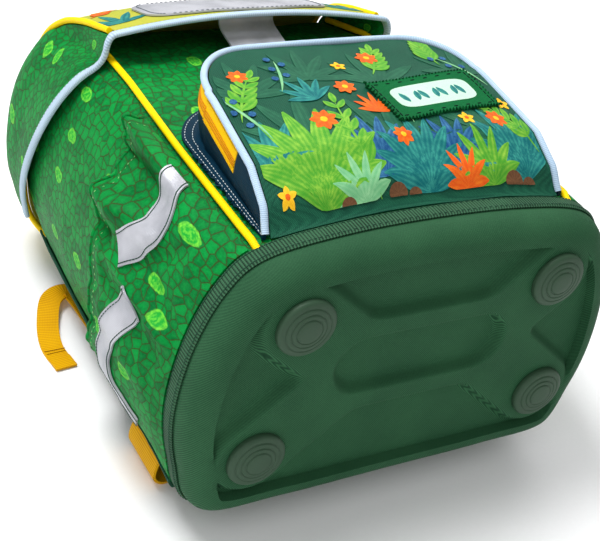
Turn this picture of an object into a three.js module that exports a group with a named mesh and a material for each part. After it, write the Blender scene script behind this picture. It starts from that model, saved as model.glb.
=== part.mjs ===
// A child's school ransel, lying on its back panel and shoulder straps.
// It is drawn in the bag's own directions: x across, y from the foot faces up to the flap,
// z from the back panel out to the front pocket. The last lines set it down on the ground plane.
// All sizes are in millimetres. A share is a length divided by the named size that it follows.

import * as THREE from "three";

// Main body: a soft box with a curved front, open at the top
const BODY_WIDTH = 311;
const BODY_DEPTH = 172;
const BODY_HEIGHT = 335;
const BODY_WALL = 2;
const FRONT_CROWN = 12;

// Moulded base with four rubber feet
const BASE_HEIGHT = 27;
const BASE_WALL = 3;
const BASE_EDGE_RADIUS = 17;
const BASE_RELIEF = 7;
const FOOT_RADIUS = 19.2;
const FOOT_HEIGHT = 7;
const FRONT_FOOT_SPREAD = 184;
const REAR_FOOT_SPREAD = 216;
const FRONT_FOOT_OUT = 134;
const REAR_FOOT_OUT = 38;
const TAPE_WIDTH = 12;
const TAPE_THICKNESS = 1.5;

// Edge piping
const PIPING_RADIUS = 2.3;
const PIPING_SIDES = 5;

// Flap over the top, with a wing down each side
const FLAP_TOP = 386;
const FLAP_REACH = 193;
const FLAP_WIDTH = 296;
const FLAP_WALL = 2.2;
const FLAP_CROWN = 9;
const FLAP_CORNER = 34;
const WING_WALL = 1.8;
const WING_CLEARANCE = 8;
const WING_FRONT_UP = 262;
const WING_RISE = 72;
const WING_LAST_OUT = 10;
const WING_TIP = 14;
const BINDING_WIDTH = 9;
const BINDING_THICKNESS = 4;
const REFLECTOR_WIDTH = 148;
const REFLECTOR_LENGTH = 62;
const REFLECTOR_START = 14;

// Closure tape with a rolled end, under the flap's front edge
const CLOSURE_WIDTH = 44;
const CLOSURE_LENGTH = 34;
const CLOSURE_TAPE = 1.6;
const CLOSURE_ROLL = 4.5;
const CLOSURE_UP = 216;

// Front pocket: a wedge that is deepest at its top
const POCKET_WIDTH = 214;
const POCKET_TOP = 184;
const POCKET_DEPTH = 46;
const POCKET_CORNER = 42;
const POCKET_CROWN = 5;
const POCKET_WALL = 2.4;
const GUSSET_WALL = 1.6;
const FLANGE_WIDTH = 9;
const ZIP_WIDTH = 17;
const ZIP_END_UP = 90;
const LABEL_WIDTH = 88;
const LABEL_HEIGHT = 40;
const LABEL_TURN = 8;
const LABEL_ACROSS = 43;
const LABEL_UP = 110;
const LABEL_THICKNESS = 1.6;

// Side pockets with gathered mouths
const SIDE_POCKET_HEIGHT = 158;
const SIDE_POCKET_RUN = 205;
const SIDE_POCKET_WALL = 1.5;
const SIDE_POCKET_BULGE = 10;
const GATHER_DEPTH = 3.2;
const GATHER_COUNT = 6;
const STRIP_WIDTH = 22;
const STRIP_THICKNESS = 1.2;

// Back panel: pad, edge binding, shoulder straps, webbing and carry handle
const PAD_WIDTH = 252;
const PAD_HEIGHT = 254;
const PAD_MIDDLE = 190;
const PAD_THICKNESS = 14;
const PAD_CHANNEL = 5;
const PAD_CORNER = 0.1;
const EDGE_BINDING_WIDTH = 12;
const EDGE_BINDING_THICKNESS = 2.4;
const STRAP_WIDTH = 58;
const STRAP_THICKNESS = 12;
const WEBBING_WIDTH = 20;
const WEBBING_THICKNESS = 1.8;
const ANCHOR_LENGTH = 42;
const ANCHOR_UP = 85;
const BUCKLE_LENGTH = 24;
const BUCKLE_THICKNESS = 4;
const BUCKLE_MARGIN = 4;
const HANDLE_WIDTH = 20;
const HANDLE_SPAN = 104;
const HANDLE_RISE = 13;
const HANDLE_THICKNESS = 3;

// Clear space between neighbouring pieces, and under a piece that follows a curved wall
const GAP = 0.3;
const SEAT = 0.6;

// Fineness of the surfaces
const AROUND_BODY = 48;
const AROUND_PATCH = 35;

const HALF_WIDTH = BODY_WIDTH / 2;
const BASE_TOP = BASE_HEIGHT + GAP;
const TAPE_FOOT = BASE_HEIGHT - 1;
const TAPE_HEAD = TAPE_FOOT + TAPE_WIDTH;

// Half of the body's cross-section, from the middle of the front round to the middle of the back.
// across is a share of the half width, out a share of the depth, and crown of the front crown.
const CONTOUR = [
  { name: "front_middle", across: 0, out: 0.98, crown: 1 },
  { name: "front_quarter", across: 0.4, out: 0.98, crown: 0.8 },
  { name: "front_edge", across: 0.727, out: 0.98, crown: 0.08 },
  { name: "front_corner", across: 0.868, out: 0.87, crown: 0 },
  { name: "side_front", across: 0.962, out: 0.66, crown: 0 },
  { name: "side_middle", across: 1, out: 0.4, crown: 0 },
  { name: "side_rear", across: 0.965, out: 0.17, crown: 0 },
  { name: "rear_corner", across: 0.86, out: -0.004, crown: 0 },
  { name: "rear_quarter", across: 0.5, out: -0.03, crown: 0 },
  { name: "rear_middle", across: 0, out: -0.03, crown: 0 },
];
const CONTOUR_STEPS = 2 * (CONTOUR.length - 1);

// How the cross-section changes on its way up. up is a share of the body's height.
// rear is a share of the depth that the back stands out by.
const SECTIONS = [
  { up: 0, wide: 1, deep: 1, crown: 1, rear: 0.042 },
  { up: 0.125, wide: 1, deep: 1, crown: 1, rear: 0.042 },
  { up: 0.17, wide: 1, deep: 1, crown: 0.8, rear: 0.002 },
  { up: 0.45, wide: 0.985, deep: 1, crown: 0.35, rear: 0 },
  { up: 0.7, wide: 0.962, deep: 1.01, crown: 0.15, rear: 0 },
  { up: 0.86, wide: 0.94, deep: 0.99, crown: 0.1, rear: 0 },
  { up: 1, wide: 0.905, deep: 0.93, crown: 0.1, rear: 0 },
];

// The flap's side view, from its front edge over the top to its seam on the back.
// up is a share of the top's height, out of the way from the back seam to the reach,
// wide of the flap's half width and crown of the flap's crown.
const FLAP_PROFILE = [
  { up: 0.686, out: 1, wide: 0.73, crown: 1 },
  { up: 0.764, out: 0.957, wide: 0.735, crown: 1 },
  { up: 0.834, out: 0.916, wide: 0.745, crown: 1 },
  { up: 0.905, out: 0.854, wide: 0.765, crown: 1 },
  { up: 0.963, out: 0.755, wide: 0.79, crown: 1 },
  { up: 0.992, out: 0.616, wide: 0.815, crown: 0.9 },
  { up: 1, out: 0.42, wide: 0.838, crown: 0.7 },
  { up: 0.99, out: 0.2, wide: 0.85, crown: 0.5 },
  { up: 0.958, out: 0.05, wide: 0.855, crown: 0.25 },
  { up: 0.915, out: 0, wide: 0.85, crown: 0 },
  { up: 0.845, out: 0, wide: 0.83, crown: 0 },
];
const WING_LAST_ROW = 8;

// The front pocket on its way up. up is a share of the pocket's top, deep of its depth
// and wide of its half width.
const POCKET_RISE = [
  { up: 0.215, deep: 0.2, wide: 1 },
  { up: 0.27, deep: 0.33, wide: 0.985 },
  { up: 0.4, deep: 0.64, wide: 0.975 },
  { up: 0.72, deep: 0.87, wide: 0.945 },
  { up: 1, deep: 1, wide: 0.93 },
];

// The side pocket from its front edge to its back one, with the deep valley behind the front.
// across is a share of the pocket's run, mouth of its height, lean of the bulge at the mouth
// and belly of the bulge lower down.
const SIDE_POCKET_FALL = [
  { across: 0, mouth: 1.2, lean: 0, belly: 0 },
  { across: 0.08, mouth: 1.19, lean: 0.62, belly: 0.35 },
  { across: 0.19, mouth: 1.12, lean: 0.12, belly: 0.5 },
  { across: 0.32, mouth: 1.03, lean: 1, belly: 0.8 },
  { across: 0.5, mouth: 0.9, lean: 1.05, belly: 1 },
  { across: 0.68, mouth: 0.87, lean: 1, belly: 1 },
  { across: 0.85, mouth: 0.92, lean: 0.6, belly: 0.6 },
  { across: 1, mouth: 0.95, lean: 0, belly: 0 },
];

// The reflective strips on a side pocket. across is a share of the pocket's run, up of its height.
const STRIPS = {
  front: [
    { across: 0.02, up: 0.76 },
    { across: 0.09, up: 0.75 },
    { across: 0.18, up: 0.66 },
    { across: 0.26, up: 0.63 },
    { across: 0.38, up: 0.76 },
  ],
  rear: [
    { across: 0.42, up: 0.52 },
    { across: 0.57, up: 0.645 },
    { across: 0.7, up: 0.69 },
    { across: 0.81, up: 0.6 },
    { across: 0.88, up: 0.44 },
  ],
};

// A shoulder strap from its top seam to its buckle. across and up are shares of the pad's
// width and height from the pad's middle, wide and thick of the strap's own, and drop is the
// share of the way from the back's seam down to the pad's underside.
const STRAP_RUN = [
  { across: 0.17, up: 0.555, wide: 0.8, thick: 0.35, drop: 0 },
  { across: 0.175, up: 0.53, wide: 0.84, thick: 0.4, drop: 0.4 },
  { across: 0.178, up: 0.49, wide: 0.92, thick: 0.8, drop: 1 },
  { across: 0.185, up: 0.43, wide: 0.96, thick: 1, drop: 1 },
  { across: 0.2, up: 0.36, wide: 1, thick: 1, drop: 1 },
  { across: 0.235, up: 0.16, wide: 1, thick: 1, drop: 1 },
  { across: 0.258, up: -0.03, wide: 1, thick: 1, drop: 1 },
  { across: 0.272, up: -0.17, wide: 0.9, thick: 1, drop: 1 },
  { across: 0.3, up: -0.265, wide: 0.66, thick: 1, drop: 1 },
  { across: 0.345, up: -0.325, wide: 0.5, thick: 1, drop: 1 },
];

// The webbing's free end on the ground, from the buckle's outer side. across and up are
// shares of the pad as above, and lift is a share of the webbing's width.
const TAIL_RUN = [
  { across: 0.45, up: -0.24, lift: 0 },
  { across: 0.458, up: -0.15, lift: 0 },
  { across: 0.455, up: 0.02, lift: 0 },
  { across: 0.458, up: 0.2, lift: 0.1 },
  { across: 0.485, up: 0.325, lift: 0.35 },
  { across: 0.55, up: 0.31, lift: 0.35 },
  { across: 0.595, up: 0.215, lift: 0.15 },
  { across: 0.614, up: 0.12, lift: 0 },
  { across: 0.606, up: 0.02, lift: 0 },
];

// The anchor tab's way from the back's edge seam down to the ground. outwards is a share of
// the webbing's width from the seam, down of the seam's height and long of the tab's length.
const ANCHOR_RUN = [
  { outwards: 0, down: 0, long: 1 },
  { outwards: 0.25, down: 0.25, long: 1 },
  { outwards: 0.3, down: 0.7, long: 0.98 },
  { outwards: -0.1, down: 0.96, long: 0.9 },
  { outwards: -0.7, down: 1, long: 0.66 },
];

const FABRIC = { roughness: 0.8, metalness: 0 };
const MATERIALS = {
  scale_print: new THREE.MeshStandardMaterial({ color: 0x0f8a3f, ...FABRIC }),
  pocket_print: new THREE.MeshStandardMaterial({ color: 0x2f6044, ...FABRIC }),
  flap_print: new THREE.MeshStandardMaterial({ color: 0xb8b83a, ...FABRIC }),
  base_cloth: new THREE.MeshStandardMaterial({ color: 0x2d5f46, ...FABRIC }),
  dark_tape: new THREE.MeshStandardMaterial({ color: 0x3c644f, ...FABRIC }),
  navy_cloth: new THREE.MeshStandardMaterial({ color: 0x0a2d41, ...FABRIC }),
  light_binding: new THREE.MeshStandardMaterial({ color: 0xc0d4e2, ...FABRIC }),
  yellow_trim: new THREE.MeshStandardMaterial({ color: 0xfad70a, ...FABRIC }),
  zip_tape: new THREE.MeshStandardMaterial({ color: 0xf0be14, ...FABRIC }),
  label_felt: new THREE.MeshStandardMaterial({ color: 0x14713a, ...FABRIC }),
  reflective: new THREE.MeshStandardMaterial({ color: 0xc8c8cd, roughness: 0.4, metalness: 0.1 }),
  foot_rubber: new THREE.MeshStandardMaterial({ color: 0x506950, roughness: 0.6, metalness: 0 }),
  buckle_plastic: new THREE.MeshStandardMaterial({ color: 0x20242a, roughness: 0.5, metalness: 0 }),
};

const bag = new THREE.Group();

// Adds one named piece to the bag.
function piece(name, geometry, material) {
  const mesh = new THREE.Mesh(geometry, MATERIALS[material]);
  mesh.name = name;
  bag.add(mesh);
  return mesh;
}

// The value of one column of a table where the key column reads at.
function column(table, key, at, name) {
  const last = table.length - 1;
  const rising = table[last][key] > table[0][key];
  let row = 0;
  while (row < last - 1 && (rising ? at > table[row + 1][key] : at < table[row + 1][key])) {
    row += 1;
  }
  const [low, high] = [table[row], table[row + 1]];
  const share = THREE.MathUtils.clamp((at - low[key]) / (high[key] - low[key]), 0, 1);
  return THREE.MathUtils.lerp(low[name], high[name], share);
}

// The value of one column, smoothly, at a share of the way through the rows.
function smoothly(table, share, name) {
  const last = table.length - 1;
  const at = THREE.MathUtils.clamp(share, 0, 1) * last;
  const row = Math.min(Math.floor(at), last - 1);
  const pick = (index) => table[THREE.MathUtils.clamp(index, 0, last)][name];
  const [a, b, c, d] = [pick(row - 1), pick(row), pick(row + 1), pick(row + 2)];
  const t = at - row;
  return b + 0.5 * t * (c - a + t * (2 * a - 5 * b + 4 * c - d + t * (3 * (b - c) + d - a)));
}

// One closed body of even or varying thickness under the surface point(u, v).
// closed joins u = 1 to u = 0. folded closes a closed sheet at v = 1, where its last row
// lies on one point, or runs there and back along one line.
// thickness is a number, or a function of u and v, and is measured against the normal, which
// points to the side where u runs right and v runs up. level keeps both rims horizontal.
function sheet(point, columns, rows, thickness, shape = {}) {
  const { closed = false, folded = false, level = false } = shape;
  const across = closed ? columns : columns + 1;
  const grid = [];
  for (let j = 0; j <= rows; j += 1) {
    for (let i = 0; i < across; i += 1) {
      grid.push(point(i / columns, j / rows));
    }
  }
  const at = (i, j) => grid[j * across + (closed ? (i + across) % across : i)];
  const normalAt = (i, j) => {
    const left = closed || i > 0 ? at(i - 1, j) : at(i, j);
    const right = closed || i < columns ? at(i + 1, j) : at(i, j);
    const along = at(i, Math.min(j + 1, rows)).clone().sub(at(i, Math.max(j - 1, 0)));
    const normal = right.clone().sub(left).cross(along);
    normal.y *= level && (j === 0 || j === rows) ? 0 : 1;
    return normal.normalize();
  };
  const middle = new THREE.Vector3();
  for (let i = 0; folded && i < across; i += 1) {
    middle.add(normalAt(i, rows - 1));
  }
  middle.normalize();
  const inner = [];
  for (let j = 0; j <= rows; j += 1) {
    for (let i = 0; i < across; i += 1) {
      const normal = folded && j === rows ? middle : normalAt(i, j);
      const depth = typeof thickness === "function" ? thickness(i / columns, j / rows) : thickness;
      inner.push(at(i, j).clone().addScaledVector(normal, -depth));
    }
  }
  const positions = [];
  const quad = (a, b, c, d) => {
    for (const [p, q, r] of [[a, b, c], [a, c, d]]) {
      if (p.distanceTo(q) > 1e-4 && q.distanceTo(r) > 1e-4 && r.distanceTo(p) > 1e-4) {
        positions.push(...p, ...q, ...r);
      }
    }
  };
  const top = at;
  const bottom = (i, j) => inner[j * across + (closed ? (i + across) % across : i)];
  for (let j = 0; j < rows; j += 1) {
    for (let i = 0; i < columns; i += 1) {
      quad(top(i, j), top(i + 1, j), top(i + 1, j + 1), top(i, j + 1));
      quad(bottom(i, j), bottom(i, j + 1), bottom(i + 1, j + 1), bottom(i + 1, j));
    }
    if (!closed) {
      quad(top(0, j), top(0, j + 1), bottom(0, j + 1), bottom(0, j));
      quad(top(columns, j), bottom(columns, j), bottom(columns, j + 1), top(columns, j + 1));
    }
  }
  for (let i = 0; i < columns; i += 1) {
    quad(top(i, 0), bottom(i, 0), bottom(i + 1, 0), top(i + 1, 0));
    if (!folded) {
      quad(top(i, rows), top(i + 1, rows), bottom(i + 1, rows), bottom(i, rows));
    }
  }
  return facingOut(positions);
}

// Triangles as a geometry whose faces point outwards.
function facingOut(positions) {
  let volume = 0;
  const [a, b, c] = [new THREE.Vector3(), new THREE.Vector3(), new THREE.Vector3()];
  for (let k = 0; k < positions.length; k += 9) {
    a.fromArray(positions, k);
    b.fromArray(positions, k + 3);
    c.fromArray(positions, k + 6);
    volume += a.dot(b.cross(c));
  }
  if (volume < 0) {
    for (let k = 0; k < positions.length; k += 9) {
      for (let axis = 0; axis < 3; axis += 1) {
        [positions[k + 3 + axis], positions[k + 6 + axis]] =
          [positions[k + 6 + axis], positions[k + 3 + axis]];
      }
    }
  }
  return new THREE.BufferGeometry().setAttribute(
    "position",
    new THREE.Float32BufferAttribute(positions, 3),
  );
}

// A round cord of piping along a curve.
function piping(points, radius, steps) {
  const section = new THREE.Shape();
  for (let side = 0; side < PIPING_SIDES; side += 1) {
    const angle = (2 * Math.PI * side) / PIPING_SIDES;
    const [x, y] = [radius * Math.cos(angle), radius * Math.sin(angle)];
    if (side === 0) {
      section.moveTo(x, y);
    } else {
      section.lineTo(x, y);
    }
  }
  return new THREE.ExtrudeGeometry(section, {
    steps,
    bevelEnabled: false,
    extrudePath: new THREE.CatmullRomCurve3(points, false, "centripetal"),
  });
}

// The body's closed cross-section at a height, as a curve whose parameter counts contour rows.
function bodyCurve(up) {
  const share = up / BODY_HEIGHT;
  const wide = HALF_WIDTH * column(SECTIONS, "up", share, "wide");
  const deep = BODY_DEPTH * column(SECTIONS, "up", share, "deep");
  const crown = FRONT_CROWN * column(SECTIONS, "up", share, "crown");
  const rear = BODY_DEPTH * column(SECTIONS, "up", share, "rear");
  const corner = (row, side) => {
    const back = row.out < 0 ? rear : 0;
    return new THREE.Vector3(side * wide * row.across, up, deep * row.out + crown * row.crown - back);
  };
  const right = CONTOUR.map((row) => corner(row, 1));
  const left = CONTOUR.slice(1, -1).reverse().map((row) => corner(row, -1));
  return new THREE.CatmullRomCurve3([...right, ...left], true, "catmullrom");
}

// A point on the body's outside, at a share round the contour, moved outwards by a distance.
function onBody(around, up, outwards = 0) {
  const curve = bodyCurve(up);
  const share = ((around % 1) + 1) % 1;
  const tangent = curve.getTangent(share);
  const normal = new THREE.Vector3(tangent.z, 0, -tangent.x).normalize().negate();
  const point = curve.getPoint(share);
  if (normal.x * point.x + normal.z * (point.z - BODY_DEPTH / 2) < 0) {
    normal.negate();
  }
  return point.addScaledVector(normal, outwards);
}

// The share round the contour of a named row, on the right side or the left.
function rowShare(name, side = 1) {
  const share = CONTOUR.findIndex((row) => row.name === name) / CONTOUR_STEPS;
  return side > 0 ? share : 1 - share;
}

// Heights from one level to another: those of the sections, with long steps split.
function bodyLevels(from, to, split) {
  const levels = [from];
  for (const { up } of SECTIONS) {
    const [last, next] = [levels[levels.length - 1], up * BODY_HEIGHT];
    if (next > from + TAPE_WIDTH / 4 && next < to - TAPE_WIDTH / 4) {
      const parts = next - last > BODY_HEIGHT * 0.2 ? split : 1;
      for (let part = 1; part <= parts; part += 1) {
        levels.push(THREE.MathUtils.lerp(last, next, part / parts));
      }
    }
  }
  return [...levels, to];
}

// The body's outside in front at a place across it.
function bodyFront(across, up) {
  const curve = bodyCurve(up);
  const limit = rowShare("front_corner");
  let [low, high] = [0, limit];
  for (let turn = 0; turn < 18; turn += 1) {
    const middle = (low + high) / 2;
    if (curve.getPoint(middle).x < Math.abs(across)) {
      low = middle;
    } else {
      high = middle;
    }
  }
  return curve.getPoint(low).z;
}

// The body's half width on the side at a place between its front and back.
function bodySide(out, up) {
  const curve = bodyCurve(Math.min(up, BODY_HEIGHT));
  let [low, high] = [rowShare("front_edge"), rowShare("rear_corner")];
  for (let turn = 0; turn < 18; turn += 1) {
    const middle = (low + high) / 2;
    if (curve.getPoint(middle).z > out) {
      low = middle;
    } else {
      high = middle;
    }
  }
  return curve.getPoint(low).x;
}

// Main body wall, open at the top and closed below by the moulded base
function makeBody() {
  const levels = bodyLevels(BASE_TOP, BODY_HEIGHT, 2);
  const rows = levels.length - 1;
  const point = (u, v) => onBody(u, levels[Math.round(v * rows)]);
  const wall = sheet(point, AROUND_BODY, rows, BODY_WALL, { closed: true, level: true });
  piece("body_shell", wall, "scale_print");
  for (const [side, word] of [[-1, "left"], [1, "right"]]) {
    const heights = bodyLevels(TAPE_HEAD + GAP, BODY_HEIGHT, 2);
    const seat = PIPING_RADIUS + SEAT;
    const points = heights.map((up) => onBody(rowShare("front_edge", side), up, seat));
    piece("body_piping_" + word, piping(points, PIPING_RADIUS, 14), "yellow_trim");
  }
}

const FEET = [
  { name: "front_left", across: -FRONT_FOOT_SPREAD / 2, out: FRONT_FOOT_OUT },
  { name: "front_right", across: FRONT_FOOT_SPREAD / 2, out: FRONT_FOOT_OUT },
  { name: "rear_left", across: -REAR_FOOT_SPREAD / 2, out: REAR_FOOT_OUT },
  { name: "rear_right", across: REAR_FOOT_SPREAD / 2, out: REAR_FOOT_OUT },
];

// Where the long recess in the middle of the base has its round end
const SLOT_END = new THREE.Vector3(
  FRONT_FOOT_SPREAD * 0.23,
  0,
  (FRONT_FOOT_OUT + REAR_FOOT_OUT) * 0.545,
);

// How much of the base's relief stands at a place: 1 on the raised forms, 0 in the recesses.
function relief(across, out) {
  const { smoothstep } = THREE.MathUtils;
  const here = new THREE.Vector3(across, 0, out);
  const nearest = new THREE.Vector3();
  const middle = new THREE.Line3(SLOT_END.clone().setX(-SLOT_END.x), SLOT_END);
  const ring = here.distanceTo(middle.closestPointToPoint(here, true, nearest));
  let raised = 1 - smoothstep(ring, FOOT_RADIUS * 1.7, FOOT_RADIUS * 2.1);
  for (const foot of FEET) {
    const end = SLOT_END.clone().setX(Math.sign(foot.across) * SLOT_END.x);
    const arm = new THREE.Line3(new THREE.Vector3(foot.across, 0, foot.out), end);
    const near = here.distanceTo(arm.closestPointToPoint(here, true, nearest));
    raised = Math.max(raised, 1 - smoothstep(near, FOOT_RADIUS * 1.25, FOOT_RADIUS * 1.7));
  }
  return raised * smoothstep(ring, FOOT_RADIUS * 0.85, FOOT_RADIUS * 1.2);
}

// Moulded base tray: round edge, raised pods for the feet and a relief between them
function makeBase() {
  const edge = BASE_EDGE_RADIUS;
  const rounds = [0, 0.5, 1];
  const rings = [0.84, 0.66, 0.48, 0.25, 0];
  const rows = 1 + rounds.length + rings.length;
  const outline = (u, inset) => onBody(u, BASE_HEIGHT, -inset);
  const point = (u, v) => {
    const row = Math.round(v * (rows - 1));
    if (row === 0) {
      return outline(u, 0);
    }
    if (row <= rounds.length) {
      const angle = (rounds[row - 1] * Math.PI) / 2;
      const rim = outline(u, edge * (1 - Math.cos(angle)));
      rim.y = FOOT_HEIGHT + edge * (1 - Math.sin(angle));
      return rim;
    }
    const share = rings[row - 1 - rounds.length];
    const middle = new THREE.Vector3(SLOT_END.x * Math.sin(2 * Math.PI * u), 0, SLOT_END.z);
    const flat = outline(u, edge).sub(middle).multiplyScalar(share).add(middle);
    flat.y = FOOT_HEIGHT + BASE_RELIEF * (1 - relief(flat.x, flat.z));
    return flat;
  };
  const shape = { closed: true, folded: true };
  piece("base_tray", sheet(point, AROUND_BODY, rows - 1, -BASE_WALL, shape), "base_cloth");

  for (const foot of FEET) {
    const rim = FOOT_RADIUS;
    const steps = [
      { radius: 0, up: 0 },
      { radius: 0.42, up: 0 },
      { radius: 0.47, up: 0.16 },
      { radius: 0.7, up: 0.16 },
      { radius: 0.75, up: 0.36 },
      { radius: 0.93, up: 0.42 },
      { radius: 1, up: 0.7 },
      { radius: 1, up: 1 },
      { radius: 0, up: 1 },
    ];
    const height = FOOT_HEIGHT - GAP;
    const profile = steps.map((row) => new THREE.Vector2(rim * row.radius, height * row.up));
    const made = piece("foot_" + foot.name, new THREE.LatheGeometry(profile, 16), "foot_rubber");
    made.position.set(foot.across, 0, foot.out);
  }

  const band = (u, v) => onBody(
    u,
    THREE.MathUtils.lerp(TAPE_FOOT, TAPE_HEAD, v),
    GAP + TAPE_THICKNESS,
  );
  piece("base_tape", sheet(band, AROUND_BODY, 1, TAPE_THICKNESS, { closed: true }), "dark_tape");
}

// Where the flap's outside lies on the back, and its seam there
const FLAP_BACK = -(BODY_DEPTH * 0.03 + SEAT + FLAP_WALL);

// A point on the flap's top panel. u runs from -1 at the left piping to 1 at the right one.
function onFlap(u, v, outwards = 0) {
  const place = (share) => {
    const up = FLAP_TOP * smoothly(FLAP_PROFILE, share, "up");
    const out = THREE.MathUtils.lerp(FLAP_BACK, FLAP_REACH, smoothly(FLAP_PROFILE, share, "out"));
    return new THREE.Vector3(0, up, out);
  };
  const here = place(v);
  const slope = place(Math.min(v + 0.02, 1)).sub(place(Math.max(v - 0.02, 0))).normalize();
  const normal = new THREE.Vector3(0, -slope.z, slope.y);
  const crown = FLAP_CROWN * smoothly(FLAP_PROFILE, v, "crown") * (1 - u * u);
  here.x = (u * FLAP_WIDTH * smoothly(FLAP_PROFILE, v, "wide")) / 2;
  return here.addScaledVector(normal, outwards + crown);
}

// The share of the flap's side view that a distance from its front edge takes up.
function flapShare(distance) {
  const step = 0.01;
  let [v, done, length] = [0, 0, 0];
  while (done < distance && v < 1) {
    length = onFlap(1, v).distanceTo(onFlap(1, v + step));
    done += length;
    v += step;
  }
  return v - (step * (done - distance)) / length;
}

// The lower edge of a wing, at a share of the way along the wing.
function wingEdge(v) {
  const first = FLAP_REACH - WING_TIP;
  const out = THREE.MathUtils.lerp(first, WING_LAST_OUT, v);
  const up = WING_FRONT_UP + WING_RISE * Math.pow(1 - out / FLAP_REACH, 1.3);
  return new THREE.Vector3(0, up, out);
}

// A wing's line at v, from the piping round the flap's corner and down to the edge.
// It gives the line's length and the point at a distance from the piping.
function wingLine(side, v, outwards = 0) {
  const start = onFlap(1, (v * WING_LAST_ROW) / (FLAP_PROFILE.length - 1), outwards);
  const top = new THREE.Vector3(0, start.y, start.z);
  const edge = wingEdge(v);
  const drop = top.distanceTo(edge);
  const corner = Math.min(FLAP_CORNER, drop * 0.9);
  const wall = (place) => Math.max(bodySide(place.z, place.y) + WING_CLEARANCE, start.x + 1);
  const samples = 24;
  const route = [];
  for (let step = 0; step <= samples; step += 1) {
    const half = Math.min((2 * step) / samples, 1) * (Math.PI / 2);
    const rest = Math.max((2 * step) / samples - 1, 0);
    const below = corner * (1 - Math.cos(half)) + (drop - corner) * rest;
    const place = top.clone().lerp(edge, below / drop);
    const full = wall(place) - start.x;
    place.x = side * (start.x + outwards + full * Math.sin(half));
    route.push(place);
  }
  const curve = new THREE.CatmullRomCurve3(route);
  const length = curve.getLength();
  return { length, point: (distance) => curve.getPointAt(distance / length) };
}

// Flap: top panel, two wings, piping between them and a binding round the free edge
function makeFlap() {
  const firstRow = flapShare(BINDING_WIDTH + SEAT);
  const top = (u, v) => {
    const lengthwise = THREE.MathUtils.lerp(firstRow, 1, v);
    const half = onFlap(1, lengthwise).x;
    return onFlap((2 * u - 1) * (1 - (PIPING_RADIUS + GAP) / half), lengthwise);
  };
  piece("flap_top", sheet(top, 10, 12, FLAP_WALL), "flap_print");

  const wingStart = 0.1;
  const pipingStart = flapShare(BINDING_WIDTH + 2 * PIPING_RADIUS);
  for (const [side, word] of [[-1, "left"], [1, "right"]]) {
    const point = (u, v) => {
      const line = wingLine(side, THREE.MathUtils.lerp(wingStart, 1, u));
      const from = PIPING_RADIUS + 2 * SEAT;
      return line.point(THREE.MathUtils.lerp(from, line.length - BINDING_WIDTH - SEAT, v));
    };
    piece("flap_wing_" + word, sheet(point, 12, 5, -side * WING_WALL), "scale_print");

    const points = [];
    for (let step = 0; step <= 12; step += 1) {
      points.push(onFlap(side, THREE.MathUtils.lerp(pipingStart, 0.98, step / 12)));
    }
    piece("flap_piping_" + word, piping(points, PIPING_RADIUS, 16), "yellow_trim");
  }
  makeFlapBinding(wingStart);

  const reflector = (u, v) => {
    const [sine, cosine] = [Math.sin(2 * Math.PI * u), Math.cos(2 * Math.PI * u)];
    const round = (value) => Math.sign(value) * Math.sqrt(Math.abs(value));
    const across = (REFLECTOR_WIDTH / 2) * round(cosine) * (1 - v);
    const down = REFLECTOR_START + (REFLECTOR_LENGTH / 2) * (1 + round(sine) * (1 - v));
    const lengthwise = flapShare(down);
    const half = onFlap(1, lengthwise).x;
    return onFlap(across / half, lengthwise, SEAT + STRIP_THICKNESS);
  };
  const shape = { closed: true, folded: true };
  piece("flap_reflector", sheet(reflector, 24, 2, STRIP_THICKNESS, shape), "reflective");
}

// Folded binding along the flap's front edge and up the edges of both wings
function makeFlapBinding(wingStart) {
  const proud = (BINDING_THICKNESS - FLAP_WALL) / 2;
  const inside = flapShare(BINDING_WIDTH);
  const rows = [];
  for (let step = 8; step >= 0; step -= 1) {
    const line = wingLine(1, THREE.MathUtils.lerp(wingStart, 1, step / 8), proud);
    rows.push([line.point(line.length), line.point(line.length - BINDING_WIDTH)]);
  }
  const tip = wingLine(1, 0, proud);
  const shoulder = rows[rows.length - 1][1];
  const corner = onFlap(1, inside, proud);
  rows.push([tip.point(tip.length), shoulder.clone().lerp(corner, 0.4)]);
  for (let step = 6; step >= 1; step -= 1) {
    rows.push([onFlap(step / 6, 0, proud), onFlap(step / 6, inside, proud)]);
  }
  const mirrored = rows.map((row) => row.map((place) => place.clone().setX(-place.x))).reverse();
  const all = [...rows, [onFlap(0, 0, proud), onFlap(0, inside, proud)], ...mirrored];
  const last = all.length - 1;
  const point = (u, v) => all[Math.round((1 - u) * last)][v < 0.5 ? 0 : 1];
  piece("flap_binding", sheet(point, last, 1, BINDING_THICKNESS), "light_binding");
}

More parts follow.
